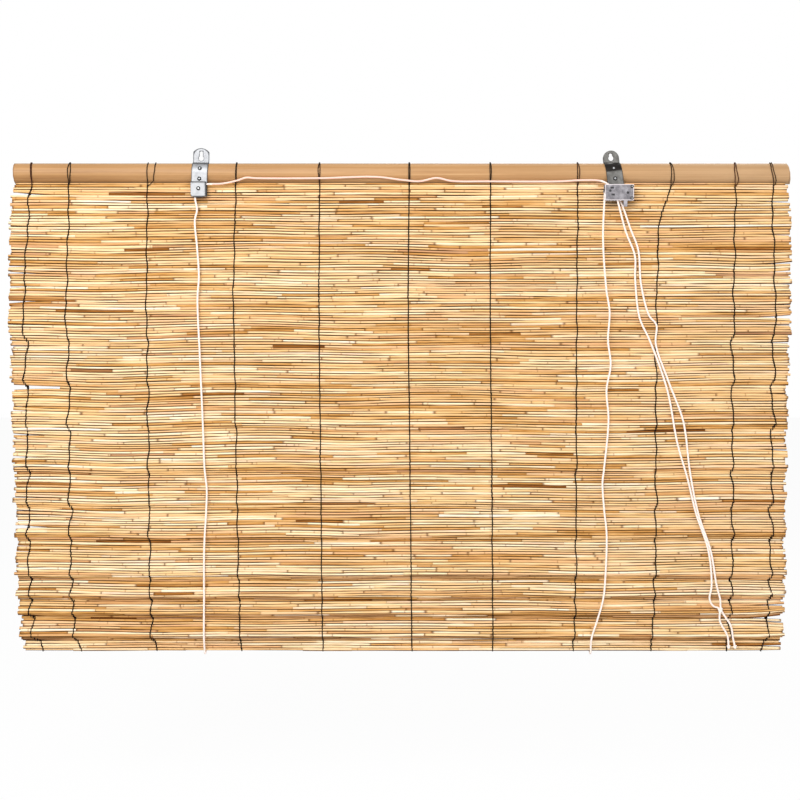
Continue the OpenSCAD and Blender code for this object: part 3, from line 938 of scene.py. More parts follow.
@dataclass(frozen=True)
class Stud:
    """A turned fastener, such as a screw or a rivet, that a Geometry Nodes tree sets at several places."""

    name: str
    outline: Table
    # The outline's rings that are darkened with painted shade.
    grimy: tuple[int, ...] = ()
    slot_width: float = 0.0
    slot_depth: float = 0.0
    corners: int = 28
    spin: float = 1.2

    def turned(self) -> Object:
        """Turns the outline about Z.

        Returns:
            The fastener at the origin, its head towards +Z. Millimetres in the outline become metres.
        """
        rings = len(self.outline)
        turns = [math.tau * k / self.corners for k in range(self.corners)]
        points = [
            (r * MM * math.cos(turn), r * MM * math.sin(turn), h * MM)
            for r, h in self.outline
            for turn in turns
        ]
        made = new_piece(self.name, points, capped_walls(rings, self.corners))
        # Marks the rings that get painted shade.
        grime = [float(i in self.grimy) for i in range(rings) for _ in turns]
        made.data.attributes.new("grime", "FLOAT", "POINT").data.foreach_set("value", grime)
        shade_walls(made)
        if self.slot_width:
            self._cut_slot(made)
        return made

    def _cut_slot(self, made: Object) -> None:
        """Cuts a driver slot across the head.

        Args:
            made: The turned fastener, whose mesh is replaced.
        """
        reach, top = max(r for r, _ in self.outline) * MM, max(h for _, h in self.outline) * MM
        half = self.slot_width * MM / 2
        low, high = top - self.slot_depth * MM, top + reach
        corners = ((-reach, -half), (reach, -half), (reach, half), (-reach, half))
        points = [(x, y, z) for z in (low, high) for x, y in corners]
        carve(made, points, capped_walls(2, len(corners)))

    def _grow(self, graph: Graph, given: NodeOutputs) -> NodeSocket:
        """Sets a fastener on every point, looking along the point's aim and turned by chance.

        Args:
            graph: The tree.
            given: The tree's inputs Places, Fastener and Seed.

        Returns:
            The fasteners.
        """
        shape = graph.node("GeometryNodeObjectInfo", values={"Object": given["Fastener"]})
        aim = graph.node(
            "GeometryNodeInputNamedAttribute", {"data_type": "FLOAT_VECTOR"}, {"Name": "aim"}
        )
        facing = graph.node(
            "FunctionNodeAlignRotationToVector", {"axis": "Z"}, {"Vector": aim.outputs["Attribute"]}
        )
        limits = {"Min_001": -self.spin, "Max_001": self.spin, "Seed": given["Seed"]}
        chance = graph.node("FunctionNodeRandomValue", {"data_type": "FLOAT"}, limits)
        angle = next(s for s in chance.outputs if s.identifier == "Value_001")
        spin = graph.node(
            "FunctionNodeAxisAngleToRotation", values={"Axis": (0.0, 0.0, 1.0), "Angle": angle}
        )
        turned = graph.node(
            "FunctionNodeRotateRotation",
            {"rotation_space": "LOCAL"},
            {"Rotation": facing.outputs[0], "Rotate By": spin.outputs[0]},
        )
        values = {
            "Points": given["Places"],
            "Instance": shape.outputs["Geometry"],
            "Rotation": turned.outputs[0],
        }
        return graph.node("GeometryNodeInstanceOnPoints", values=values).outputs[0]

    def piece(self, name: str, seats: Sequence[Seat], finish: Finish, seed: int = 3) -> Object:
        """Sets the fastener at several places.

        Args:
            name: The piece's name.
            seats: Where each one's zero point lies, in metres, and where its head looks.
            finish: Its finish.
            seed: For the turn of each one about its own axis.

        Returns:
            The piece, a plain mesh at the origin.
        """
        shape = self.turned()
        made = new_piece(name, [tuple(place) for place, _ in seats])
        aims = [number for _, aim in seats for number in aim]
        made.data.attributes.new("aim", "FLOAT_VECTOR", "POINT").data.foreach_set("vector", aims)
        inputs = {
            "Places": "NodeSocketGeometry",
            "Fastener": "NodeSocketObject",
            "Seed": "NodeSocketInt",
            "Finish": "NodeSocketMaterial",
        }
        recipe = Recipe("set_fasteners", inputs, self._grow)
        recipe.run(made, {"Fastener": shape, "Seed": seed, "Finish": finish.material()})
        bpy.data.objects.remove(shape)
        return made


def hang(piece: Object, slot: str, *nodes: str) -> Object:
    """Fixes a finished piece to the blind in place of its solids.

    Args:
        piece: The piece, at the origin.
        slot: The record's material slot. Not used.
        nodes: The solids that it stands for.

    Returns:
        The piece.
    """
    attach(piece, BLIND)
    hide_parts(*nodes)
    LOG.info("%s: %d faces", piece.name, len(piece.data.polygons))
    return piece


# The reed mat and its threads


@dataclass
class RowPath:
    """Where the rows of reeds hang: straight down, with folds left by rolling that grow deeper downwards."""

    rows: int = 187
    pitch: float = 4.0
    first_z: float = -44.0
    stand_off: float = 9.0
    fold_depth: float = 9.0
    fold_step: int = 3
    folds: tuple[int, ...] = (60, 78, 95, 112, 126, 139, 155, 164, 172, 182)
    slope_span: float = 0.6
    y: np.ndarray = field(init=False)
    z: np.ndarray = field(init=False)

    def __post_init__(self) -> None:
        """Works out each row's place from the folds."""
        depths = [self.fold_depth * (fold / (self.rows - 1)) ** 2 for fold in self.folds]
        self.y = -self.stand_off - self._over_folds(np.arange(self.rows), depths)
        drops = np.sqrt(self.pitch**2 - np.diff(self.y) ** 2)
        self.z = self.first_z - np.concatenate([[0.0], np.cumsum(drops)])

    def _over_folds(self, rows: np.ndarray | float, crests: Sequence[float]) -> np.ndarray:
        """Rises to a fold's crest, row by row, and falls back to 0 within the fold.

        Args:
            rows: The rows where the result is wanted.
            crests: The height at each fold's crest.

        Returns:
            The height at each of the rows.
        """
        places, heights = [0.0], [0.0]
        for fold, crest in zip(self.folds, crests):
            places += [fold - self.fold_step, fold]
            heights += [crest, 0.0]
        return np.interp(rows, places, heights)

    def place(self, row: float) -> Pair:
        """Depth and height of a row, which may lie between two whole ones."""
        rows = np.arange(self.rows)
        return float(np.interp(row, rows, self.y)), float(np.interp(row, rows, self.z))

    def swing(self, row: float) -> float:
        """How far through a fold a row is: 0 at its foot, 1 at its crest."""
        return float(self._over_folds(row, [1.0] * len(self.folds)))

    def folding(self, row: int) -> bool:
        """True for the rows between a fold's crest and its foot."""
        return any(0 <= fold - row < self.fold_step for fold in self.folds)

    def to_room(self, row: float) -> Vector:
        """Looks out of the mat's face, at right angles to its fall.

        Args:
            row: The row, which may lie between two whole ones.

        Returns:
            A direction of length 1.
        """
        above = self.place(max(row - self.slope_span, 0.0))
        below = self.place(min(row + self.slope_span, self.rows - 1.0))
        fall = Vector((0.0, below[0] - above[0], below[1] - above[1])).normalized()
        return Vector((0.0, fall.z, -fall.y))


@dataclass
class Reed:
    """One reed: its row and ends, its radius and taper, its tone, and how it strays from the row."""

    row: int
    start: float
    end: float
    girth: float
    taper: float
    tone: float
    warm: float
    proud: float
    cut: float
    left_lift: float = 0.0
    right_lift: float = 0.0

    def radius(self, x: float) -> float:
        """Radius at one place along the reed."""
        share = (x - self.start) / (self.end - self.start)
        return self.girth * (1.0 + self.taper * (2.0 * share - 1.0))


@dataclass(frozen=True)
class ReedChances:
    """How reeds differ by chance: limits and spreads in millimetres, tones and shares from 0 to 1."""

    seed: int = 20
    ragged: float = 2.8
    lengths: Pair = (45.0, 240.0)
    lap: Pair = (0.3, 2.2)
    girths: Pair = (1.5, 2.6)
    girth_spread: float = 0.24
    taper: float = 0.12
    proud_spread: float = 0.22
    dark_cut_share: float = 0.3
    cuts: Pair = (0.8, 0.12)
    lift_share: float = 0.3
    left_lift: float = 1.4
    right_lift: float = 1.2
    # The reeds' own mean straw tone, plus a rise towards the bottom that is painted light, evening out the
    # lamp's fall-off down the mat.
    usual_tones_and_light_slope: Table = ((0, 0.59), (75, 0.69), (130, 0.71), (186, 0.76))
    tone_waves: tuple[Point, ...] = ((0.05, 0.21, 0.0), (0.04, 0.057, 1.0))
    tone_spread: float = 0.17
    tone_limits: Pair = (0.2, 0.86)
    brown_share: float = 0.08
    brown_tones: Pair = (0.1, 0.32)
    stained_share: float = 0.07
    # stain_and_fold_shade darkens the stained reeds, a real stain, and the reeds inside folds, which is
    # painted shade.
    stain_and_fold_shade: float = 0.42
    darkest: float = 0.06
    pale_share: float = 0.07
    pale_tones: Pair = (0.78, 0.95)
    long_reed: float = 130.0
    long_tone: float = 0.34
    line_spread: float = 0.06
    radius_spread: float = 0.02

    def tone(self, row: int, path: RowPath, rng: random.Random) -> float:
        """Picks a straw tone: mostly middling, with some brown, some stained and some very pale reeds.

        Args:
            row: The reed's row.
            path: The rows. Reeds between a fold's crest and its foot get a darker tone as painted shade, the
                more the lower they lie.
            rng: The seeded source of chance.

        Returns:
            The tone.
        """
        kind = rng.random()
        if kind < self.brown_share:
            return rng.uniform(*self.brown_tones)
        if kind > 1.0 - self.pale_share:
            return rng.uniform(*self.pale_tones)
        wave = sum(height * math.sin(row * pace + phase) for height, pace, phase in self.tone_waves)
        low, high = self.tone_limits
        tone = min(max(rng.gauss(read(self.usual_tones_and_light_slope, row) + wave, self.tone_spread), low), high)
        # Painted shade: reeds that face down inside a fold get a darker tone, the more the lower they hang.
        if path.folding(row):
            tone -= self.stain_and_fold_shade * (row / path.rows) ** 2
        stained = kind < self.brown_share + self.stained_share
        return max(tone - self.stain_and_fold_shade, self.darkest) if stained else tone


@dataclass(frozen=True)
class TuckedReeds:
    """Thin reeds under the headrail's lower edge, above the first row."""

    y: float = -7.8
    z: float = -40.4
    girth: float = 1.6
    inset: Pair = (4.0, 3.0)
    rest: float = 60.0
    lengths: Pair = (120.0, 260.0)
    lap: float = 1.0
    steps: int = 6
    wobble: float = 0.08
    tones: Pair = (0.3, 0.6)
    cut: float = 0.3

    def strands(self, left: float, right: float, rng: random.Random) -> list[Strand]:
        """Lays the reeds end to end.

        Args:
            left: The first row's left end.
            right: Its right end.
            rng: The seeded source of chance.

        Returns:
            The reeds.
        """
        made, x = [], left + self.inset[0]
        while x < right - self.rest:
            stop = min(x + rng.uniform(*self.lengths), right - self.inset[1])
            points = [
                Vector((x + (stop - x) * k / self.steps, self.y, self.z + rng.gauss(0.0, self.wobble)))
                for k in range(self.steps + 1)
            ]
            tone, warm = rng.uniform(*self.tones), rng.random()
            made.append(Strand.even(points, self.girth, tone=tone, warm=warm, cut=self.cut))
            x = stop - self.lap
        return made


@dataclass
class ReedMat:
    """Rows of reeds, jointed end to end, that lie on each other and are bound by threads."""

    path: RowPath
    chances: ReedChances = ReedChances()
    tucked: TuckedReeds = TuckedReeds()
    left_edge: Table = ((0, -608.0), (12, -613.0), (50, -614.0), (110, -611.0), (160, -608.0), (186, -601.0))
    right_edge: Table = ((0, 590.0), (12, 594.0), (50, 595.0), (110, 592.0), (160, 593.0), (186, 589.0))
    creep: float = 3.4
    middle_girth: float = 2.05
    closing: float = 0.34
    sample: float = 28.0
    column: float = 15.0
    column_span: Pair = (-630.0, 616.0)
    evening: int = 5
    evening_rounds: int = 2
    levelling: int = 25
    levelled: float = 0.7
    broken_row: int = 78
    broken_start: float = -540.0
    pale_row: int = 122
    pale_span: Pair = (424.0, 491.0)
    pale_clear: float = 40.0
    pale_tone: float = 1.1
    pale_warm: float = 0.2
    pale_girth: float = 2.7
    pale_proud: float = 1.0
    bend_length: float = 70.0
    bend_forward: float = 0.45
    bend_free: float = 1.0
    splayed_left: Table = ((75, 0.8), (76, 1.5), (77, 2.4), (79, -1.8), (80, -1.0), (81, -0.4))
    splayed_right: Table = (
        (31, 0.9), (32, 1.8), (33, -1.2), (34, -0.5), (47, 0.7), (48, 1.4), (49, 2.3), (50, 3.3),
        (51, -2.4), (52, -1.6), (53, 0.2), (54, -1.2), (60, 1.2), (61, -1.4), (161, 2.5), (166, 3.0),
        (169, 4.5), (170, 6.0), (171, 7.0), (172, 6.0), (173, -1.0), (174, -3.0), (176, -2.0), (180, 2.0),
    )
    columns: np.ndarray = field(init=False)
    drift: np.ndarray = field(init=False)
    reeds: list[Reed] = field(init=False)

    def __post_init__(self) -> None:
        """Lays the reeds and lets the rows settle on each other."""
        self.columns = np.arange(*self.column_span, self.column)
        rng = random.Random(self.chances.seed)
        self.reeds = [reed for row in range(self.path.rows) for reed in self._lay_row(row, rng)]
        self.drift = self._settle()

    def _joints(self, row: int, rng: random.Random) -> list[float]:
        """Where the reeds of one row meet.

        Args:
            row: The row's number, from the top.
            rng: The seeded source of chance.

        Returns:
            The row's left end, its joints and its right end.
        """
        ragged = self.chances.ragged
        shortest, longest = self.chances.lengths
        out = self.path.swing(row) * self.creep
        left = read(self.left_edge, row) - out + rng.uniform(-ragged, ragged)
        right = read(self.right_edge, row) + out + rng.uniform(-ragged, ragged)
        if row == self.broken_row:
            left = self.broken_start
        joints = [left]
        while right - joints[-1] > longest:
            joints.append(joints[-1] + rng.uniform(shortest, longest))
        if right - joints[-1] < shortest:
            joints.pop()
        joints.append(right)
        if row == self.pale_row:
            low, high = self.pale_span[0] - self.pale_clear, self.pale_span[1] + self.pale_clear
            joints = [j for j in joints if not low < j < high or j in (left, right)]
            joints = sorted([*joints, *self.pale_span])
        return joints

    def _lay_row(self, row: int, rng: random.Random) -> list[Reed]:
        """Joins reeds end to end along one row.

        Args:
            row: The row's number, from the top.
            rng: The seeded source of chance.

        Returns:
            The row's reeds, from left to right.
        """
        by = self.chances
        joints = self._joints(row, rng)
        left, right = joints[0], joints[-1]
        made = []
        for start, end in zip(joints, joints[1:]):
            reed = Reed(
                row=row,
                start=start,
                end=end + (rng.uniform(*by.lap) if end != right else 0.0),
                girth=min(max(rng.gauss(self.middle_girth, by.girth_spread), by.girths[0]), by.girths[1]),
                taper=rng.uniform(-by.taper, by.taper),
                tone=by.tone(row, self.path, rng),
                warm=rng.random(),
                proud=rng.gauss(0.0, by.proud_spread),
                cut=by.cuts[0] if rng.random() < by.dark_cut_share else by.cuts[1],
            )
            if start == left:
                lift = rng.gauss(0.0, by.left_lift) if rng.random() < by.lift_share else 0.0
                reed.left_lift = dict(self.splayed_left).get(row, lift)
            if end == right:
                lift = rng.gauss(0.0, by.right_lift) if rng.random() < by.lift_share else 0.0
                reed.right_lift = dict(self.splayed_right).get(row, lift)
            if reed.end - reed.start > by.long_reed:
                reed.tone = max(reed.tone, by.long_tone)
            if row == self.pale_row and start == self.pale_span[0]:
                reed.tone, reed.warm = self.pale_tone, self.pale_warm
                reed.girth, reed.proud = self.pale_girth, self.pale_proud
            made.append(reed)
        return made

    def _settle(self) -> np.ndarray:
        """Stacks the reeds on each other along every column, then evens the rows out along their length.

        Returns:
            How far each row strays from its own place at each column, in rows.
        """
        rows = self.path.rows
        girths = np.full((rows, len(self.columns)), self.middle_girth)
        for reed in self.reeds:
            within = (self.columns >= reed.start) & (self.columns < reed.end)
            girths[reed.row, within] = [reed.radius(x) for x in self.columns[within]]
        steps = np.cumsum(girths[:-1] + girths[1:], axis=0)
        heights = np.concatenate([np.zeros((1, len(self.columns))), steps])
        strays = heights / heights[-1] * (rows - 1) - np.arange(rows)[:, None]
        for _ in range(self.evening_rounds):
            strays = self._evened(strays, 1, self.evening)
        return strays - self.levelled * self._evened(strays, 0, self.levelling)

    @staticmethod
    def _evened(strays: np.ndarray, axis: int, width: int) -> np.ndarray:
        """Averages a grid over a window along one axis.

        Args:
            strays: The grid, by row and column.
            axis: 0 for down the mat, 1 for along the rows.
            width: The window's width, an odd number.

        Returns:
            The evened grid.
        """
        window = np.ones(width) / width
        margins = [(width // 2, width // 2) if i == axis else (0, 0) for i in range(2)]
        padded = np.pad(strays, margins, mode="edge")
        return np.apply_along_axis(lambda line: np.convolve(line, window, mode="valid"), axis, padded)

    def at(self, row: int, x: float) -> Pair:
        """Depth and height of a row's middle at one place along it, in millimetres."""
        return self.path.place(row + float(np.interp(x, self.columns, self.drift[row])))

    def _strand(self, reed: Reed, rng: random.Random) -> Strand:
        """Bends one reed along its row.

        Args:
            reed: The reed.
            rng: The seeded source of chance.

        Returns:
            The reed's middle line and radius.
        """
        steps = max(2, round((reed.end - reed.start) / self.sample))
        points, girth = [], []
        for k in range(steps + 1):
            x = reed.start + (reed.end - reed.start) * k / steps
            y, z = self.at(reed.row, x)
            near_left = max(0.0, 1.0 - (x - reed.start) / self.bend_length) ** 2
            near_right = max(0.0, 1.0 - (reed.end - x) / self.bend_length) ** 2
            z += reed.left_lift * near_left + reed.right_lift * near_right
            y -= self.bend_forward * max(0.0, reed.right_lift * near_right - self.bend_free)
            y = y - reed.proud + rng.gauss(0.0, self.chances.line_spread)
            points.append(Vector((x, y, z)) * MM)
            radius = reed.radius(x) * (1.0 + rng.gauss(0.0, self.chances.radius_spread))
            girth.append((radius + self.closing) * MM)
        return Strand(points, girth, {"tone": reed.tone, "warm": reed.warm, "cut": reed.cut})

    def build(self) -> None:
        """Builds the reeds in place of the plain mat."""
        rng = random.Random(self.chances.seed + 1)
        strands = [self._strand(reed, rng) for reed in self.reeds]
        strands += self.tucked.strands(self.left_edge[0][1], self.right_edge[0][1], rng)
        sweep = Sweep("sweep_reeds", Roll.LEVEL, sides=8)
        hang(sweep.piece("reeds", strands, REED), "reed", "reed_mat")


@dataclass(frozen=True)
class Fray:
    """Loose ends of a thread that lost its reed."""

    count: int = 5
    radius: float = 0.16
    forward: float = 2.4
    start: Pair = (1.0, 2.0)
    reach: Pair = (2.5, 2.2)
    out: Pair = (0.2, 0.9)
    droop: float = 0.12
    steps: int = 3

    def strands(self, middle: Vector, rng: random.Random) -> list[Strand]:
        """Spreads the ends out.

        Args:
            middle: Where the reed was.
            rng: The seeded source of chance.

        Returns:
            A few short strands.
        """
        made = []
        (wide, high), (far, tall) = self.start, self.reach
        for _ in range(self.count):
            aside, up = rng.uniform(-wide, wide), rng.uniform(-high, high)
            start = Vector((middle.x + aside, middle.y - self.forward, middle.z + up))
            way = Vector((rng.uniform(-far, far), -rng.uniform(*self.out), rng.uniform(-tall, tall)))
            points = [
                start + way * (k / self.steps) + Vector((0.0, 0.0, -self.droop * k * k))
                for k in range(self.steps + 1)
            ]
            made.append(Strand.even(points, self.radius, tint=0.0))
        return made


@dataclass
class WarpThread:
    """One warp thread: two strands that swap sides between the rows, and their tie round the headrail."""

    number: int
    rows: Table
    ties: tuple[Point, ...]
    reddish: float = 0.0
    fray: Fray | None = None
    radius: float = 0.92
    tie_radius: float = 0.68
    first_seed: int = 100
    half_width: float = 600.0
    creep: float = 6.0
    jog: float = 2.2
    jog_waves: Table = ((0.45, 2.1), (0.17, 1.0))
    sway_kept: float = 0.85
    sway: float = 0.12
    clear: float = 0.1
    aside: float = 0.3
    wrap: tuple[float, ...] = (-0.95, 0.0, 0.95)
    tie_angles: range = range(-42, 75, 12)
    tie_span: float = 114.0
    tie_clear: float = 0.2
    tie_start: Pair = (0.3, 2.6)
    tie_end: float = 1.5
    back_clear: float = 0.15
    crest_clear: float = 0.3
    crest_inset: float = 1.0
    crest_drop: float = 1.4

    def across(self, path: RowPath, row: float) -> float:
        """Finds the thread, which jogs from row to row and strays outwards where the mat bulges.

        Args:
            path: The rows.
            row: The row.

        Returns:
            The place along the row.
        """
        x = read(self.rows, row)
        waves = [math.sin(pace * row + phase * self.number) for pace, phase in self.jog_waves]
        jog = self.jog * math.prod(waves) * abs(x) / self.half_width
        return x + jog + path.swing(row) * self.creep * math.copysign((x / self.half_width) ** 2, x)

    def twined(self, mat: ReedMat, turn: int, rng: random.Random) -> Strand:
        """One of the two strands through the mat.

        Args:
            mat: The reeds that it binds.
            turn: 0 or 1, which of the two.
            rng: The seeded source of chance.

        Returns:
            The strand.
        """
        points: list[Vector] = []
        sway = 0.0
        fall = Vector((0.0, 0.0, -1.0))
        aside = Vector((self.aside if turn else -self.aside, 0.0, 0.0))
        reach = mat.middle_girth + self.radius + self.clear
        for row in range(mat.path.rows):
            sway = self.sway_kept * sway + rng.gauss(0.0, self.sway)
            x = self.across(mat.path, row) + sway
            middle = Vector((x, *mat.at(row, x)))
            out = mat.path.to_room(row) * (1.0 if (row + turn) % 2 == 0 else -1.0)
            for angle in self.wrap:
                points.append(middle + out * (reach * math.cos(angle)) + fall * (reach * math.sin(angle)))
            if row + 1 < mat.path.rows:
                below = Vector((x, *mat.at(row + 1, x)))
                points.append((middle + below) / 2 + aside)
        return Strand.even(points, self.radius, tint=0.0)

    def tied(self, mat: ReedMat, rail: "Headrail", tie: Point) -> Strand:
        """One strand of the tie, from the first reed's front over the headrail to the first reed's back.

        Args:
            mat: The reeds below the headrail.
            rail: The headrail.
            tie: Places along the headrail at its top, middle and bottom.

        Returns:
            The strand.
        """
        top, middle, bottom = tie
        reach = mat.middle_girth + self.radius
        x = self.across(mat.path, 0)
        y, z = mat.at(0, x)
        out, up = self.tie_start
        points = [(x, y - reach, z), (0.5 * (x + bottom), y - reach - out, z + up)]
        slant = ((0.0, bottom), (0.5, middle), (1.0, top))
        for angle in self.tie_angles:
            place = read(slant, (angle - self.tie_angles.start) / self.tie_span)
            points.append((place, *rail.face(angle, self.radius + self.tie_clear)))
        back, crest = rail.back + self.radius + self.back_clear, rail.top + self.radius + self.crest_clear
        points += [(top, rail.back - self.crest_inset, crest), (top, back, crest - self.crest_drop)]
        points += [(top, back, rail.bottom), (x, y + reach, z + self.tie_end), (x, y + reach, z)]
        return Strand.even([Vector(p) for p in points], self.tie_radius, tint=self.reddish)

    def build(self, mat: ReedMat, rail: "Headrail") -> None:
        """Builds the thread in place of its plain loop.

        Args:
            mat: The reeds that it binds.
            rail: The headrail that it is tied to.
        """
        rng = random.Random(self.first_seed + self.number)
        strands = [self.twined(mat, turn, rng) for turn in (0, 1)]
        strands += [self.tied(mat, rail, tie) for tie in self.ties]
        if self.fray:
            x = self.across(mat.path, mat.broken_row)
            strands += self.fray.strands(Vector((x, *mat.at(mat.broken_row, x))), rng)
        sweep = Sweep("sweep_threads", Roll.FREE, sides=6)
        piece = sweep.piece(f"twine_{self.number:02d}", strands, THREAD)
        hang(piece, "warp_thread", f"warp_thread_{self.number:02d}")


WARP = (
    WarpThread(1, ((0, -580.0), (6, -583.0), (12, -582.6), (17, -585.8), (24, -587.0), (44, -589.8),
               (146, -589.0), (178, -585.0), (186, -571.0)),
               ((-582.0, -579.6, -579.4), (-580.4, -578.2, -578.6)), 0.7, Fray()),
    WarpThread(2, ((0, -521.0), (44, -524.5), (146, -524.0), (178, -520.0), (186, -512.0)),
               ((-521.5, -522.8, -522.0), (-520.5, -517.8, -520.0))),
    WarpThread(3, ((0, -400.0), (44, -401.5), (146, -401.3), (180, -398.0), (186, -393.0)),
               ((-400.0, -400.0, -400.0), (-388.0, -388.0, -391.0))),
    WarpThread(4, ((0, -263.5), (44, -267.7), (146, -262.8), (186, -260.0)),
               ((-263.0, -263.0, -263.4), (-262.0, -262.0, -262.6))),
    WarpThread(5, ((0, -134.0), (44, -135.4), (146, -132.2), (186, -131.0)),
               ((-134.5, -136.0, -134.4), (-133.8, -132.8, -133.6)), 0.2),
    WarpThread(6, ((0, 4.8), (44, 3.0), (146, 7.9), (186, 9.0)),
               ((4.4, 4.0, 4.2), (5.6, 6.0, 5.6))),
    WarpThread(7, ((0, 130.4), (44, 130.7), (146, 135.4), (186, 137.0)),
               ((130.0, 129.4, 130.0), (131.0, 131.6, 131.0))),
    WarpThread(8, ((0, 265.6), (44, 264.5), (146, 266.0), (186, 264.0)),
               ((265.4, 264.6, 264.8), (266.2, 268.0, 267.4)), 0.4),
    WarpThread(9, ((0, 409.5), (5, 404.0), (10, 394.0), (14, 391.0), (44, 387.4), (146, 390.4),
               (186, 386.0)),
               ((409.0, 409.6, 409.8), (410.0, 413.0, 414.6))),
    WarpThread(10, ((0, 509.4), (44, 505.7), (146, 510.0), (186, 505.0)),
               ((509.4, 506.6, 509.0), (510.4, 509.8, 514.6)), 0.9),
    WarpThread(11, ((0, 566.0), (44, 569.5), (146, 569.8), (178, 566.0), (186, 560.0)),
               ((564.2, 563.4, 568.6), (566.6, 566.6, 572.6)), 0.2),
)


# The headrail


@dataclass
class Headrail:
    """Half a bamboo cane: a curved wall with two holes for the cords in its lower lip."""

    left: float = -607.0
    right: float = 593.0
    top: float = -8.0
    bottom: float = -40.0
    back: float = -2.0
    bulge: float = 12.0
    wall: float = 6.0
    stations: int = 97
    arc_steps: int = 22
    swell: float = 0.35
    waves: int = 5
    wave_paces: Pair = (2.0, 9.0)
    wave_phases: Pair = (0.0, 6.3)
    wave_heights: Pair = (0.3, 1.0)
    wave_turn: float = 6.28
    wave_share: float = 0.4
    wave_sum: float = 3.0
    flare: float = 0.5
    flare_fade: float = 60.0
    cut_leans: Pair = (-0.6, -3.0)
    cut_wave: Pair = (0.25, 7.0)
    sharp_edge: float = 35.0
    hole_d: float = 4.0
    hole_corners: int = 24
    hole_margins: Pair = (3.0, 4.0)
    holes: tuple[float, ...] = (-310.0, 296.0)
    hole_y: float = -4.5
    seed: int = 5

    @property
    def radius(self) -> float:
        """Radius of the round face."""
        return ((self.top - self.bottom) ** 2 / 4 + self.bulge**2) / (2 * self.bulge)

    @property
    def centre(self) -> Pair:
        """Depth and height of the round face's axis."""
        return self.back - self.bulge + self.radius, (self.top + self.bottom) / 2

    def face(self, angle: float, off: float) -> Pair:
        """Finds a spot on the round face, or off it.

        Args:
            angle: Degrees above the face's middle.
            off: Distance off the face.

        Returns:
            Depth and height.
        """
        y, z = self.centre
        reach = self.radius + off
        return y - reach * math.cos(math.radians(angle)), z + reach * math.sin(math.radians(angle))

    def _swells(self) -> list[float]:
        """Waves the face gently by chance, and flares it at both ends.

        Returns:
            How far the face stands out at each station.
        """
        rng = random.Random(self.seed)
        limits = (self.wave_paces, self.wave_phases, self.wave_heights)
        waves = [tuple(rng.uniform(*span) for span in limits) for _ in range(self.waves)]
        made = []
        for i in range(self.stations):
            share = i / (self.stations - 1)
            turn = share * self.wave_turn
            wobble = sum(height * math.sin(pace * turn + phase) for pace, phase, height in waves)
            wobble /= self.wave_sum
            ends = math.exp(-share * self.flare_fade) + math.exp(-(1.0 - share) * self.flare_fade)
            made.append(self.swell * (self.wave_share * wobble + self.flare * ends))
        return made

    def _cut(self, station: int, up: float) -> float:
        """Leans the cuts of the rail's ends.

        Args:
            station: The station, of which only the first and the last are cut.
            up: Height, from the lower edge at -1 to the upper edge at 1.

        Returns:
            How far the cut lies along the rail from the station.
        """
        lean = {0: self.cut_leans[0], self.stations - 1: self.cut_leans[1]}.get(station, 0.0)
        height, pace = self.cut_wave
        return lean * up + height * math.copysign(math.sin(pace * up), lean) if lean else 0.0

    def _points(self) -> list[Point]:
        """Works out the rail's corners, in millimetres.

        Returns:
            The corners, ring by ring: up the round face and down the hollow.
        """
        outer = math.degrees(math.asin((self.top - self.bottom) / 2 / self.radius))
        inner = math.degrees(math.acos((self.centre[0] - self.back) / (self.radius - self.wall)))
        rises = [2 * k / self.arc_steps - 1 for k in range(self.arc_steps + 1)]
        made: list[Point] = []
        for i, swell in enumerate(self._swells()):
            x = self.left + (self.right - self.left) * i / (self.stations - 1)
            for up in rises:
                off = swell * math.cos(math.radians(outer * up))
                made.append((x + self._cut(i, up), *self.face(outer * up, off)))
            for up in reversed(rises):
                made.append((x + self._cut(i, up), *self.face(inner * up, -self.wall)))
        return made

    def _faces(self) -> list[Face]:
        """Joins the rail's corners.

        Returns:
            The faces of the long walls, and of a strip over each end.
        """
        ring = 2 * (self.arc_steps + 1)
        last = (self.stations - 1) * ring
        faces = [(first, *others[::-1]) for first, *others in walls(self.stations, ring)]
        for low in range(self.arc_steps):
            high = ring - 1 - low
            faces.append((low, low + 1, high - 1, high))
            faces.append((last + low + 1, last + low, last + high, last + high - 1))
        return faces

    def _drill(self, piece: Object) -> None:
        """Drills the cord holes through the lower lip.

        Args:
            piece: The rail, whose mesh is replaced.
        """
        radius, count = self.hole_d / 2, self.hole_corners
        turns = [math.tau * k / count for k in range(count)]
        below, above = self.hole_margins
        for x in self.holes:
            points = [
                ((x + radius * math.cos(t)) * MM, (self.hole_y + radius * math.sin(t)) * MM, z * MM)
                for z in (self.bottom - below, self.centre[1] - above)
                for t in turns
            ]
            carve(piece, points, capped_walls(2, count))

    def build(self) -> None:
        """Builds the bamboo in place of the plain rail."""
        points = [tuple(number * MM for number in point) for point in self._points()]
        piece = new_piece("bamboo_rail", points, self._faces())
        piece.data.polygons.foreach_set("use_smooth", [True] * len(piece.data.polygons))
        self._drill(piece)
        set_material(piece, BAMBOO.material())
        piece.data.set_sharp_from_angle(angle=math.radians(self.sharp_edge))
        hang(piece, "bamboo", "headrail")


# Cords and knots


def centre_of(node: str) -> Vector:
    """Middle of a solid's box, in millimetres."""
    low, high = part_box(node)
    return (low + high) / 2 / MM


def arc(middle: Point, radius: float, start: float, stop: float, level: bool) -> list[Point]:
    """Points round part of a circle, about ARC_STEP degrees apart.

    Args:
        middle: The circle's middle.
        radius: Its radius.
        start: First angle, in degrees.
        stop: Last angle.
        level: True for a circle in the XZ plane, False for one in the YZ plane.

    Returns:
        The points.
    """
    steps = max(2, round(abs(stop - start) / ARC_STEP))
    made = []
    for k in range(steps + 1):
        angle = math.radians(start + (stop - start) * k / steps)
        a, b = radius * math.cos(angle), radius * math.sin(angle)
        x, y, z = middle
        made.append((x + a, y, z + b) if level else (x, y + a, z + b))
    return made


def shifted(points: Iterable[Point], x: float) -> list[Point]:
    """Points slid along X."""
    return [(p[0] + x, p[1], p[2]) for p in points]


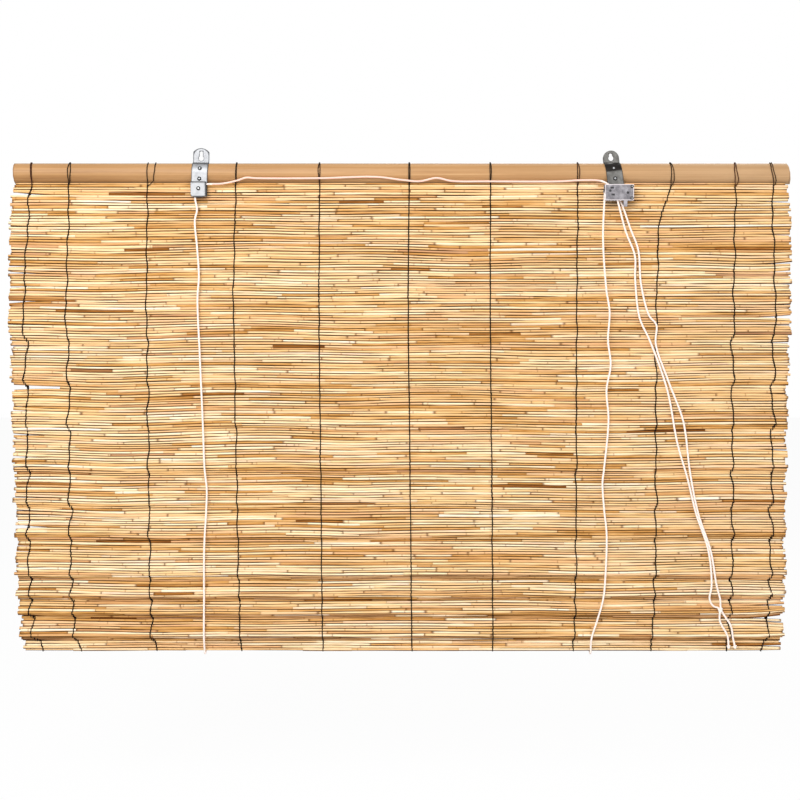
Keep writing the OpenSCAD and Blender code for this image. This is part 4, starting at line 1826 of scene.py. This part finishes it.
def smooth_line(points: Sequence[Point], step: float) -> list[Vector]:
    """A smooth curve through points, by centripetal splines.

    Args:
        points: What the curve passes through.
        step: About how far apart the result's points lie.

    Returns:
        Points along the curve.
    """
    ends = [Vector(p) for p in points]
    ends = [2 * ends[0] - ends[1], *ends, 2 * ends[-1] - ends[-2]]
    made = []
    for a, b, c, d in zip(ends, ends[1:], ends[2:], ends[3:]):
        t1 = (b - a).length ** 0.5
        t2 = t1 + (c - b).length ** 0.5
        t3 = t2 + (d - c).length ** 0.5
        count = max(1, round((c - b).length / step))
        for k in range(count):
            t = t1 + (t2 - t1) * k / count
            ab = a * ((t1 - t) / t1) + b * (t / t1)
            bc = b * ((t2 - t) / (t2 - t1)) + c * ((t - t1) / (t2 - t1))
            cd = c * ((t3 - t) / (t3 - t2)) + d * ((t - t2) / (t3 - t2))
            abc = ab * ((t2 - t) / t2) + bc * (t / t2)
            bcd = bc * ((t3 - t) / (t3 - t1)) + cd * ((t - t1) / (t3 - t1))
            made.append(abc * ((t2 - t) / (t2 - t1)) + bcd * ((t - t1) / (t2 - t1)))
    return [*made, ends[-2]]


@dataclass(frozen=True)
class Drop:
    """The hidden start of a cord: places along X, and the height of one point on the way down."""

    hole: float
    middle: float
    middle_z: float
    turn: float


@dataclass
class LiftCords:
    """The two lift cords: from the headrail's hollow, under the mat, over the wheels, down to the tails."""

    path: RowPath
    left_x: float = -318.0
    right_x: float = 318.0
    left_drop: Drop = Drop(hole=-310.0, middle=-313.0, middle_z=-300.0, turn=-317.0)
    right_drop: Drop = Drop(hole=296.0, middle=294.0, middle_z=-400.0, turn=291.0)
    diameter: float = 3.0
    pulley_r: float = 6.5
    sheave_r: float = 7.6
    hole_y: float = -4.5
    lip: Pair = (-32.0, -42.0)
    stopper: Pair = (-3.6, -26.5)
    straight_z: float = -700.0
    turn_y: float = -9.2
    turn_r: float = 6.2
    turn_rise: float = 20.0
    front_y: float = -21.8
    knot_at: Point = (492.5, -22.0, -704.0)
    left_tail: Point = (516.0, -23.5, -762.0)
    right_tail: Point = (506.0, -23.4, -762.0)
    small_knot: Pair = (6.4, 1.3)
    pull_knot: Pair = (9.2, 1.5)
    knot_steps: int = 72
    knot_reach: float = 3.0
    knot_depth: float = 1.5
    sides: int = 10
    step: float = 2.2
    tint: float = 0.12
    rail_shade_tint: float = 1.25
    rail_z: float = -45.0
    rail_x: float = 300.0

    def _behind(self, drop: Drop) -> list[Point]:
        """The stretch behind the mat and round its lower edge.

        Args:
            drop: The places that it passes.

        Returns:
            Points from the stopper knot to just in front of the mat.
        """
        low = float(self.path.z[-1])
        return [
            (drop.hole, *self.stopper),
            *((drop.hole, self.hole_y, z) for z in self.lip),
            (drop.middle, self.hole_y, drop.middle_z),
            (drop.turn, self.hole_y, self.straight_z),
            *arc((drop.turn, self.turn_y, low), self.turn_r, 0.0, -180.0, False),
            (drop.turn, self.front_y, low + self.turn_rise),
        ]

    def left_route(self) -> list[Point]:
        """The cord that runs up to the pulley, along the headrail, through the lock and down.

        Returns:
            Points along the cord, in millimetres.
        """
        left, right = self.left_x, self.right_x
        rise = [
            (1.5, -21, -690), (2.5, -20.5, -602), (6, -20, -547), (7, -19.8, -513), (4, -19.5, -484),
            (1.5, -19.2, -406), (-2.5, -18.8, -297), (-5, -18.6, -218), (-2.5, -18.5, -183),
            (-5, -18.4, -138), (-8, -18.4, -97), (-4.5, -18.4, -81), (-7, -18.4, -66),
        ]
        leave = [
            (18, -18, -41.5), (36, -16.8, -40.5), (57, -15.8, -36), (71, -15.8, -31.5), (86, -15.8, -32.3),
        ]
        cross = [
            (-133, -15.8, -32.3), (-46, -15.8, -30.3), (-6, -15.8, -35), (21, -15.8, -37),
            (47, -15.8, -32), (70, -15.8, -36.5), (130, -15.8, -37.2),
        ]
        reach = [(-80, -16.2, -37.2), (-50, -17, -35.7), (-16, -19.6, -37.5)]
        fall = [
            (12.5, -19.6, -68), (28.5, -18, -110), (41, -16.5, -142), (46.5, -15.2, -197),
            (59.5, -15.4, -244), (70.5, -15.6, -258), (70, -15.8, -288), (90, -16.4, -345),
            (112.5, -16.9, -403), (118, -17.2, -430), (125, -18, -486), (138.5, -19.1, -552),
            (158.5, -20.2, -611), (168.5, -21.3, -666), (174, -21.8, -687), (176, -22, -704),
            (191, -22.7, -729), (195, -23.2, -750),
        ]
        wheel, sheave = centre_of("pulley_wheel"), centre_of("lock_rear_sheave")
        return [
            *self._behind(self.left_drop),
            *shifted(rise, left),
            *arc(tuple(wheel), self.pulley_r, 180.0, 90.0, True),
            *shifted(leave, left),
            *cross,
            *shifted(reach, right),
            *arc(tuple(sheave), self.sheave_r, 60.0, 30.0, True),
            *shifted(fall, right),
            self.left_tail,
        ]

    def right_route(self) -> list[Point]:
        """The cord that runs straight up to the lock, through it and down.

        Returns:
            Points along the cord, in millimetres.
        """
        right = self.right_x
        rise = [
            (-18.5, -21.4, -722), (-9, -21, -687), (-5.5, -20.5, -646), (-4.5, -20.2, -583),
            (-8.5, -20, -547), (-11.5, -19.8, -503), (-9.5, -19.8, -484), (-3, -19.8, -406),
            (-6.5, -20, -359), (-0.5, -20.2, -320), (-5, -20.5, -282), (-3, -21, -238),
            (-8.5, -22, -204), (-14.5, -23.5, -127), (-13.2, -25, -66),
        ]
        fall = [
            (8.5, -25, -73), (21, -21, -115), (36, -17, -152), (37, -15, -185), (44.5, -15.3, -247),
            (60, -15.6, -281), (78, -16, -327), (90.5, -16.5, -367), (105, -17.4, -442),
            (121.5, -18.2, -498), (135, -19.1, -552), (155, -20.2, -611), (160.5, -21.3, -666),
            (157.5, -21.8, -687), (163.5, -22, -698), (172.5, -22, -702), (174, -22.6, -722),
            (186, -23, -745),
        ]
        sheave = centre_of("lock_front_sheave")
        return [
            *self._behind(self.right_drop),
            *shifted(rise, right),
            *arc(tuple(sheave), self.sheave_r, 180.0, 16.0, True),
            *shifted(fall, right),
            self.right_tail,
        ]

    def _knot(self, name: str, places: Sequence[Point], size: Pair, node: str) -> Object:
        """Ties overhand knots.

        Args:
            name: The piece's name.
            places: Where the knots sit.
            size: Diameter of a knot, and radius of its strand.
            node: The solid that it stands for.

        Returns:
            The piece with all the knots.
        """
        diameter, radius = size
        loop = []
        for k in range(self.knot_steps + 1):
            t = math.tau * k / self.knot_steps
            wide, high = math.sin(t) + 2 * math.sin(2 * t), math.cos(t) - 2 * math.cos(2 * t)
            loop.append(Vector((wide, self.knot_depth * math.sin(3 * t), high)))
        grow = (diameter / 2 - radius) / self.knot_reach
        strands = [Strand.even([Vector(at) + p * grow for p in loop], radius, tint=0.0) for at in places]
        return hang(self._sweep().piece(name, strands, CORD), "cord", node)

    def _sweep(self) -> Sweep:
        """The section that cords and knots share."""
        return Sweep("sweep_cords", Roll.FREE, self.sides)

    def _on_rail(self, place: Vector) -> bool:
        """True where a cord lies along the headrail, where its colour is darkened as painted shade."""
        return place.z > self.rail_z * MM and abs(place.x) < self.rail_x * MM

    def build(self) -> None:
        ends = [(drop.hole, *self.stopper) for drop in (self.left_drop, self.right_drop)]
        stoppers = self._knot("stopper_knots_tied", ends, self.small_knot, "stopper_knots")
        joined = self._knot("pull_knot_tied", [self.knot_at], self.pull_knot, "pull_knot")
        tail_ends = [self.left_tail, self.right_tail]
        tails = self._knot("tail_knots_tied", tail_ends, self.small_knot, "tail_knots")
        routes = (
            ("left_lift_cord", "left_cord", self.left_route(), [joined, stoppers]),
            ("right_lift_cord", "right_cord", self.right_route(), [tails]),
        )
        for name, node, route, knots in routes:
            strand = Strand.even(smooth_line(route, self.step), self.diameter / 2)
            line = strand.points
            # Along the headrail the cord gets a darker peach tint: painted shade.
            strand.facts["tint"] = [self.rail_shade_tint if self._on_rail(p) else self.tint for p in line]
            piece = hang(self._sweep().piece(name, [strand], CORD), "cord", node)
            strand.lengths()[-1]


# Fittings


@dataclass(frozen=True)
class Rivet:
    """A rivet with a domed head in front and a flat one behind, in place of a plain pin."""

    node: str
    slot: str
    shank: float
    head: float
    height: float
    back_share: float = 0.9
    back_edge: float = 0.15
    dome: Table = ((0.97, 0.3), (0.8, 0.45), (0.66, 0.3), (0.55, 0.75))
    tip_share: float = 0.2
    # The dip in the dome gets painted shade.
    grimy: tuple[int, ...] = (6, 7, 8, 9)

    def stud(self) -> Stud:
        """Makes the rivet as long as its solid.

        Returns:
            The fastener, which starts at its back.
        """
        low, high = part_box(self.node)
        length = (high.y - low.y) / MM
        seat = length - self.height
        back = ((self.head * self.back_share, 0.0), (self.head, self.back_edge), (self.head, self.height))
        shank = ((self.shank, self.height), (self.shank, seat), (self.head, seat))
        dome = tuple((self.head * r, seat + h * self.height) for r, h in self.dome)
        tip = (self.head * self.tip_share, length)
        return Stud(f"{self.node}_domed_shape", (*back, *shank, *dome, tip), self.grimy)


@dataclass
class Fittings:
    """Hangers, pulley and cord lock: finishes on their solids, and turned fasteners in place of pins."""

    keyhole_x: float = 318.0
    leans: Pair = (-2.0, 8.0)
    upper_screw: float = 17.0
    lower_screw: float = 33.0
    strap_r: float = 18.167
    rail_axis: Pair = (2.667, -24.0)
    screw: Stud = Stud(
        "domed_screw",
        (
            (1.2, -7.0), (1.6, -6.0), (1.6, 0.05), (3.2, 0.05), (3.2, 0.3), (3.0, 0.4), (1.75, 0.3),
            (1.6, 0.5), (1.5, 0.95), (1.25, 1.3), (0.8, 1.52), (0.3, 1.6),
        ),
        # The dip between the rim and the dome gets painted shade.
        grimy=(3, 4, 5, 6, 7),
        slot_width=0.6,
        slot_depth=0.45,
    )
    screw_seed: int = 4
    rivets: tuple[Rivet, ...] = (
        Rivet("lock_rivets", "screw_steel", shank=1.5, head=2.6, height=0.6),
        Rivet("strap_rivets", "screw_steel", shank=1.5, head=2.6, height=0.6),
        Rivet("pulley_pin", "bright_steel", shank=2.0, head=3.2, height=0.9),
    )
    pin_reach: float = 8.0

    def screw_seats(self) -> list[Seat]:
        """Seats the four hanger screws on their straps.

        Returns:
            Where each one sits, and where its head looks.
        """
        made = []
        for side, lean in zip((-1.0, 1.0), self.leans):
            slope = math.radians(lean)
            for drop in (self.upper_screw, self.lower_screw):
                x, z = side * self.keyhole_x + drop * math.sin(slope), -drop * math.cos(slope)
                rise = max(math.asin((z - self.rail_axis[1]) / self.strap_r), 0.0)
                y = self.rail_axis[0] - self.strap_r * math.cos(rise)
                made.append((Vector((x, y, z)) * MM, Vector((0.0, -math.cos(rise), math.sin(rise)))))
        return made

    def pin_seats(self, node: str) -> list[Seat]:
        """Finds the separate pins of a solid.

        Args:
            node: The solid.

        Returns:
            Where each pin starts, at its back, and where it looks.
        """
        corners = [v.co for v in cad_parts[node].data.vertices]
        flat = [Vector((c.x, 0.0, c.z)) for c in corners]
        reach = self.pin_reach * MM
        spots: list[Vector] = []
        for place in flat:
            if all((place - spot).length > reach for spot in spots):
                spots.append(place)
        made = []
        for spot in spots:
            near = [c for c, place in zip(corners, flat) if (place - spot).length < reach]
            low, high = (Vector([pick(c[i] for c in near) for i in range(3)]) for pick in (min, max))
            back = Vector(((low.x + high.x) / 2, high.y, (low.z + high.z) / 2))
            made.append((back, Vector((0.0, -1.0, 0.0))))
        return made

    @staticmethod
    def dress(finish: Finish, *nodes: str) -> None:
        """Gives solids a finish.

        Args:
            finish: The finish.
            nodes: The solids.
        """
        for node in nodes:
            set_material(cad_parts[node], finish.material())
            LOG.info("%s: %s", node, finish.name)

    def build(self) -> None:
        """Finishes the solids and builds the fasteners."""
        self.dress(LEFT_STRAP, "hanger_strap_left")
        self.dress(RIGHT_STRAP, "hanger_strap_right")
        self.dress(PULLEY_COVER, "pulley_cover")
        self.dress(LOCK_COVER, "lock_front_cover")
        self.dress(LOCK_STEEL, "lock_back_plate", "locking_pawl")
        self.dress(WHEEL_STEEL, "pulley_wheel", "lock_rear_sheave", "lock_front_sheave")
        self.dress(WHEEL_STEEL, "pawl_pin", "sheave_axle")
        screws = self.screw.piece("domed_screws", self.screw_seats(), SCREW_STEEL, self.screw_seed)
        hang(screws, "screw_steel", "hanger_screws")
        for rivet in self.rivets:
            seats = self.pin_seats(rivet.node)
            piece = rivet.stud().piece(f"{rivet.node}_domed", seats, SCREW_STEEL)
            hang(piece, rivet.slot, rivet.node)


# The stage


@dataclass(frozen=True)
class Lamp:
    """A square panel of light: its place in millimetres, its side in metres and its power in watts."""

    name: str
    place: Point
    side: float
    power: float


@dataclass
class Studio:
    """Camera, soft light, and a white floor and surround."""

    camera_at: Point = (-9.4, -2004.9, -263.8)
    pitch: float = 3.2
    lens: float = 57.56
    sensor: float = 36.0
    lamps: tuple[Lamp, ...] = (
        Lamp("key_panel", (-850.0, -2150.0, 1050.0), 1.5, 70.0),
        Lamp("fill_panel", (1500.0, -2100.0, 300.0), 1.8, 18.0),
        Lamp("rear_panel", (900.0, 1800.0, 1100.0), 1.8, 30.0),
    )
    lit_middle: Point = (0.0, 0.0, -400.0)
    surround: float = 0.42
    floor_z: float = -1030.0
    floor_half: float = 9000.0
    floor_grey: float = 0.85
    floor_glow: float = 0.95

    def set_camera(self) -> None:
        """Puts the camera where the blind is seen from the front, a little from above."""
        data = bpy.data.cameras.new("front_camera")
        data.lens, data.sensor_width = self.lens, self.sensor
        camera = bpy.data.objects.new("front_camera", data)
        camera.location = Vector(self.camera_at) * MM
        camera.rotation_euler = (math.radians(90.0 - self.pitch), 0.0, 0.0)
        bpy.context.scene.collection.objects.link(camera)
        bpy.context.scene.camera = camera

    def set_light(self) -> None:
        """Hangs a large soft lamp in front and above, two weaker ones to the right, and a pale surround."""
        for panel in self.lamps:
            data = bpy.data.lights.new(panel.name, "AREA")
            data.shape, data.size, data.energy = "SQUARE", panel.side, panel.power
            lamp = bpy.data.objects.new(panel.name, data)
            lamp.location = Vector(panel.place) * MM
            way = (Vector(self.lit_middle) - Vector(panel.place)).normalized()
            lamp.rotation_euler = way.to_track_quat("-Z", "Y").to_euler()
            bpy.context.scene.collection.objects.link(lamp)
        world = bpy.data.worlds.new("pale_surround")
        graph = fresh_graph(world)
        strength = self.surround + self._seen(graph) * (1.0 - self.surround)
        shade = graph.node("ShaderNodeBackground", values={"Color": WHITE, "Strength": strength})
        graph.node("ShaderNodeOutputWorld", values={"Surface": shade.outputs[0]})
        bpy.context.scene.world = world

    @staticmethod
    def _seen(graph: Graph) -> Wire:
        """Tells what is looked at from what is only lit.

        Args:
            graph: The tree of a surround or a material.

        Returns:
            1 for rays that the camera, a reflection or a clear body sees, 0 for light on the object.
        """
        rays = graph.node("ShaderNodeLightPath")
        seen = graph.wire(rays, "Is Camera Ray").larger(graph.wire(rays, "Is Glossy Ray"))
        return seen.larger(graph.wire(rays, "Is Transmission Ray"))

    def set_floor(self) -> None:
        """Lays a white floor that keeps a soft shadow."""
        half, z, grey = self.floor_half * MM, self.floor_z * MM, self.floor_grey
        corners = [(-half, -half, z), (half, -half, z), (half, half, z), (-half, half, z)]
        floor = new_piece("floor", corners, [(0, 1, 2, 3)])
        material = bpy.data.materials.new("white_floor")
        graph = fresh_graph(material)
        matt = graph.node("ShaderNodeBsdfDiffuse", values={"Color": (grey, grey, grey, 1.0)})
        glow = graph.node("ShaderNodeEmission", values={"Color": WHITE, "Strength": 1.0})
        shares = {"Fac": self._seen(graph) * self.floor_glow}
        shaders = {"Shader": matt.outputs[0], "Shader_001": glow.outputs[0]}
        both = graph.node("ShaderNodeMixShader", values=shares | shaders)
        graph.node("ShaderNodeOutputMaterial", values={"Surface": both.outputs[0]})
        set_material(floor, material)

    def build(self) -> None:
        """Sets light, floor and the plain view."""
        self.set_light()
        self.set_floor()
        bpy.context.scene.view_settings.view_transform = "Standard"


def main() -> None:
    """Builds the blind's looks, piece by piece."""
    logging.basicConfig(level=logging.INFO, format="%(name)s: %(message)s")
    studio = Studio()
    studio.set_camera()
    path = RowPath()
    LiftCords(path).build()
    mat = ReedMat(path)
    mat.build()
    rail = Headrail()
    rail.build()
    for thread in WARP:
        thread.build(mat, rail)
    Fittings().build()
    studio.build()


if __name__ == "__main__":
    main()
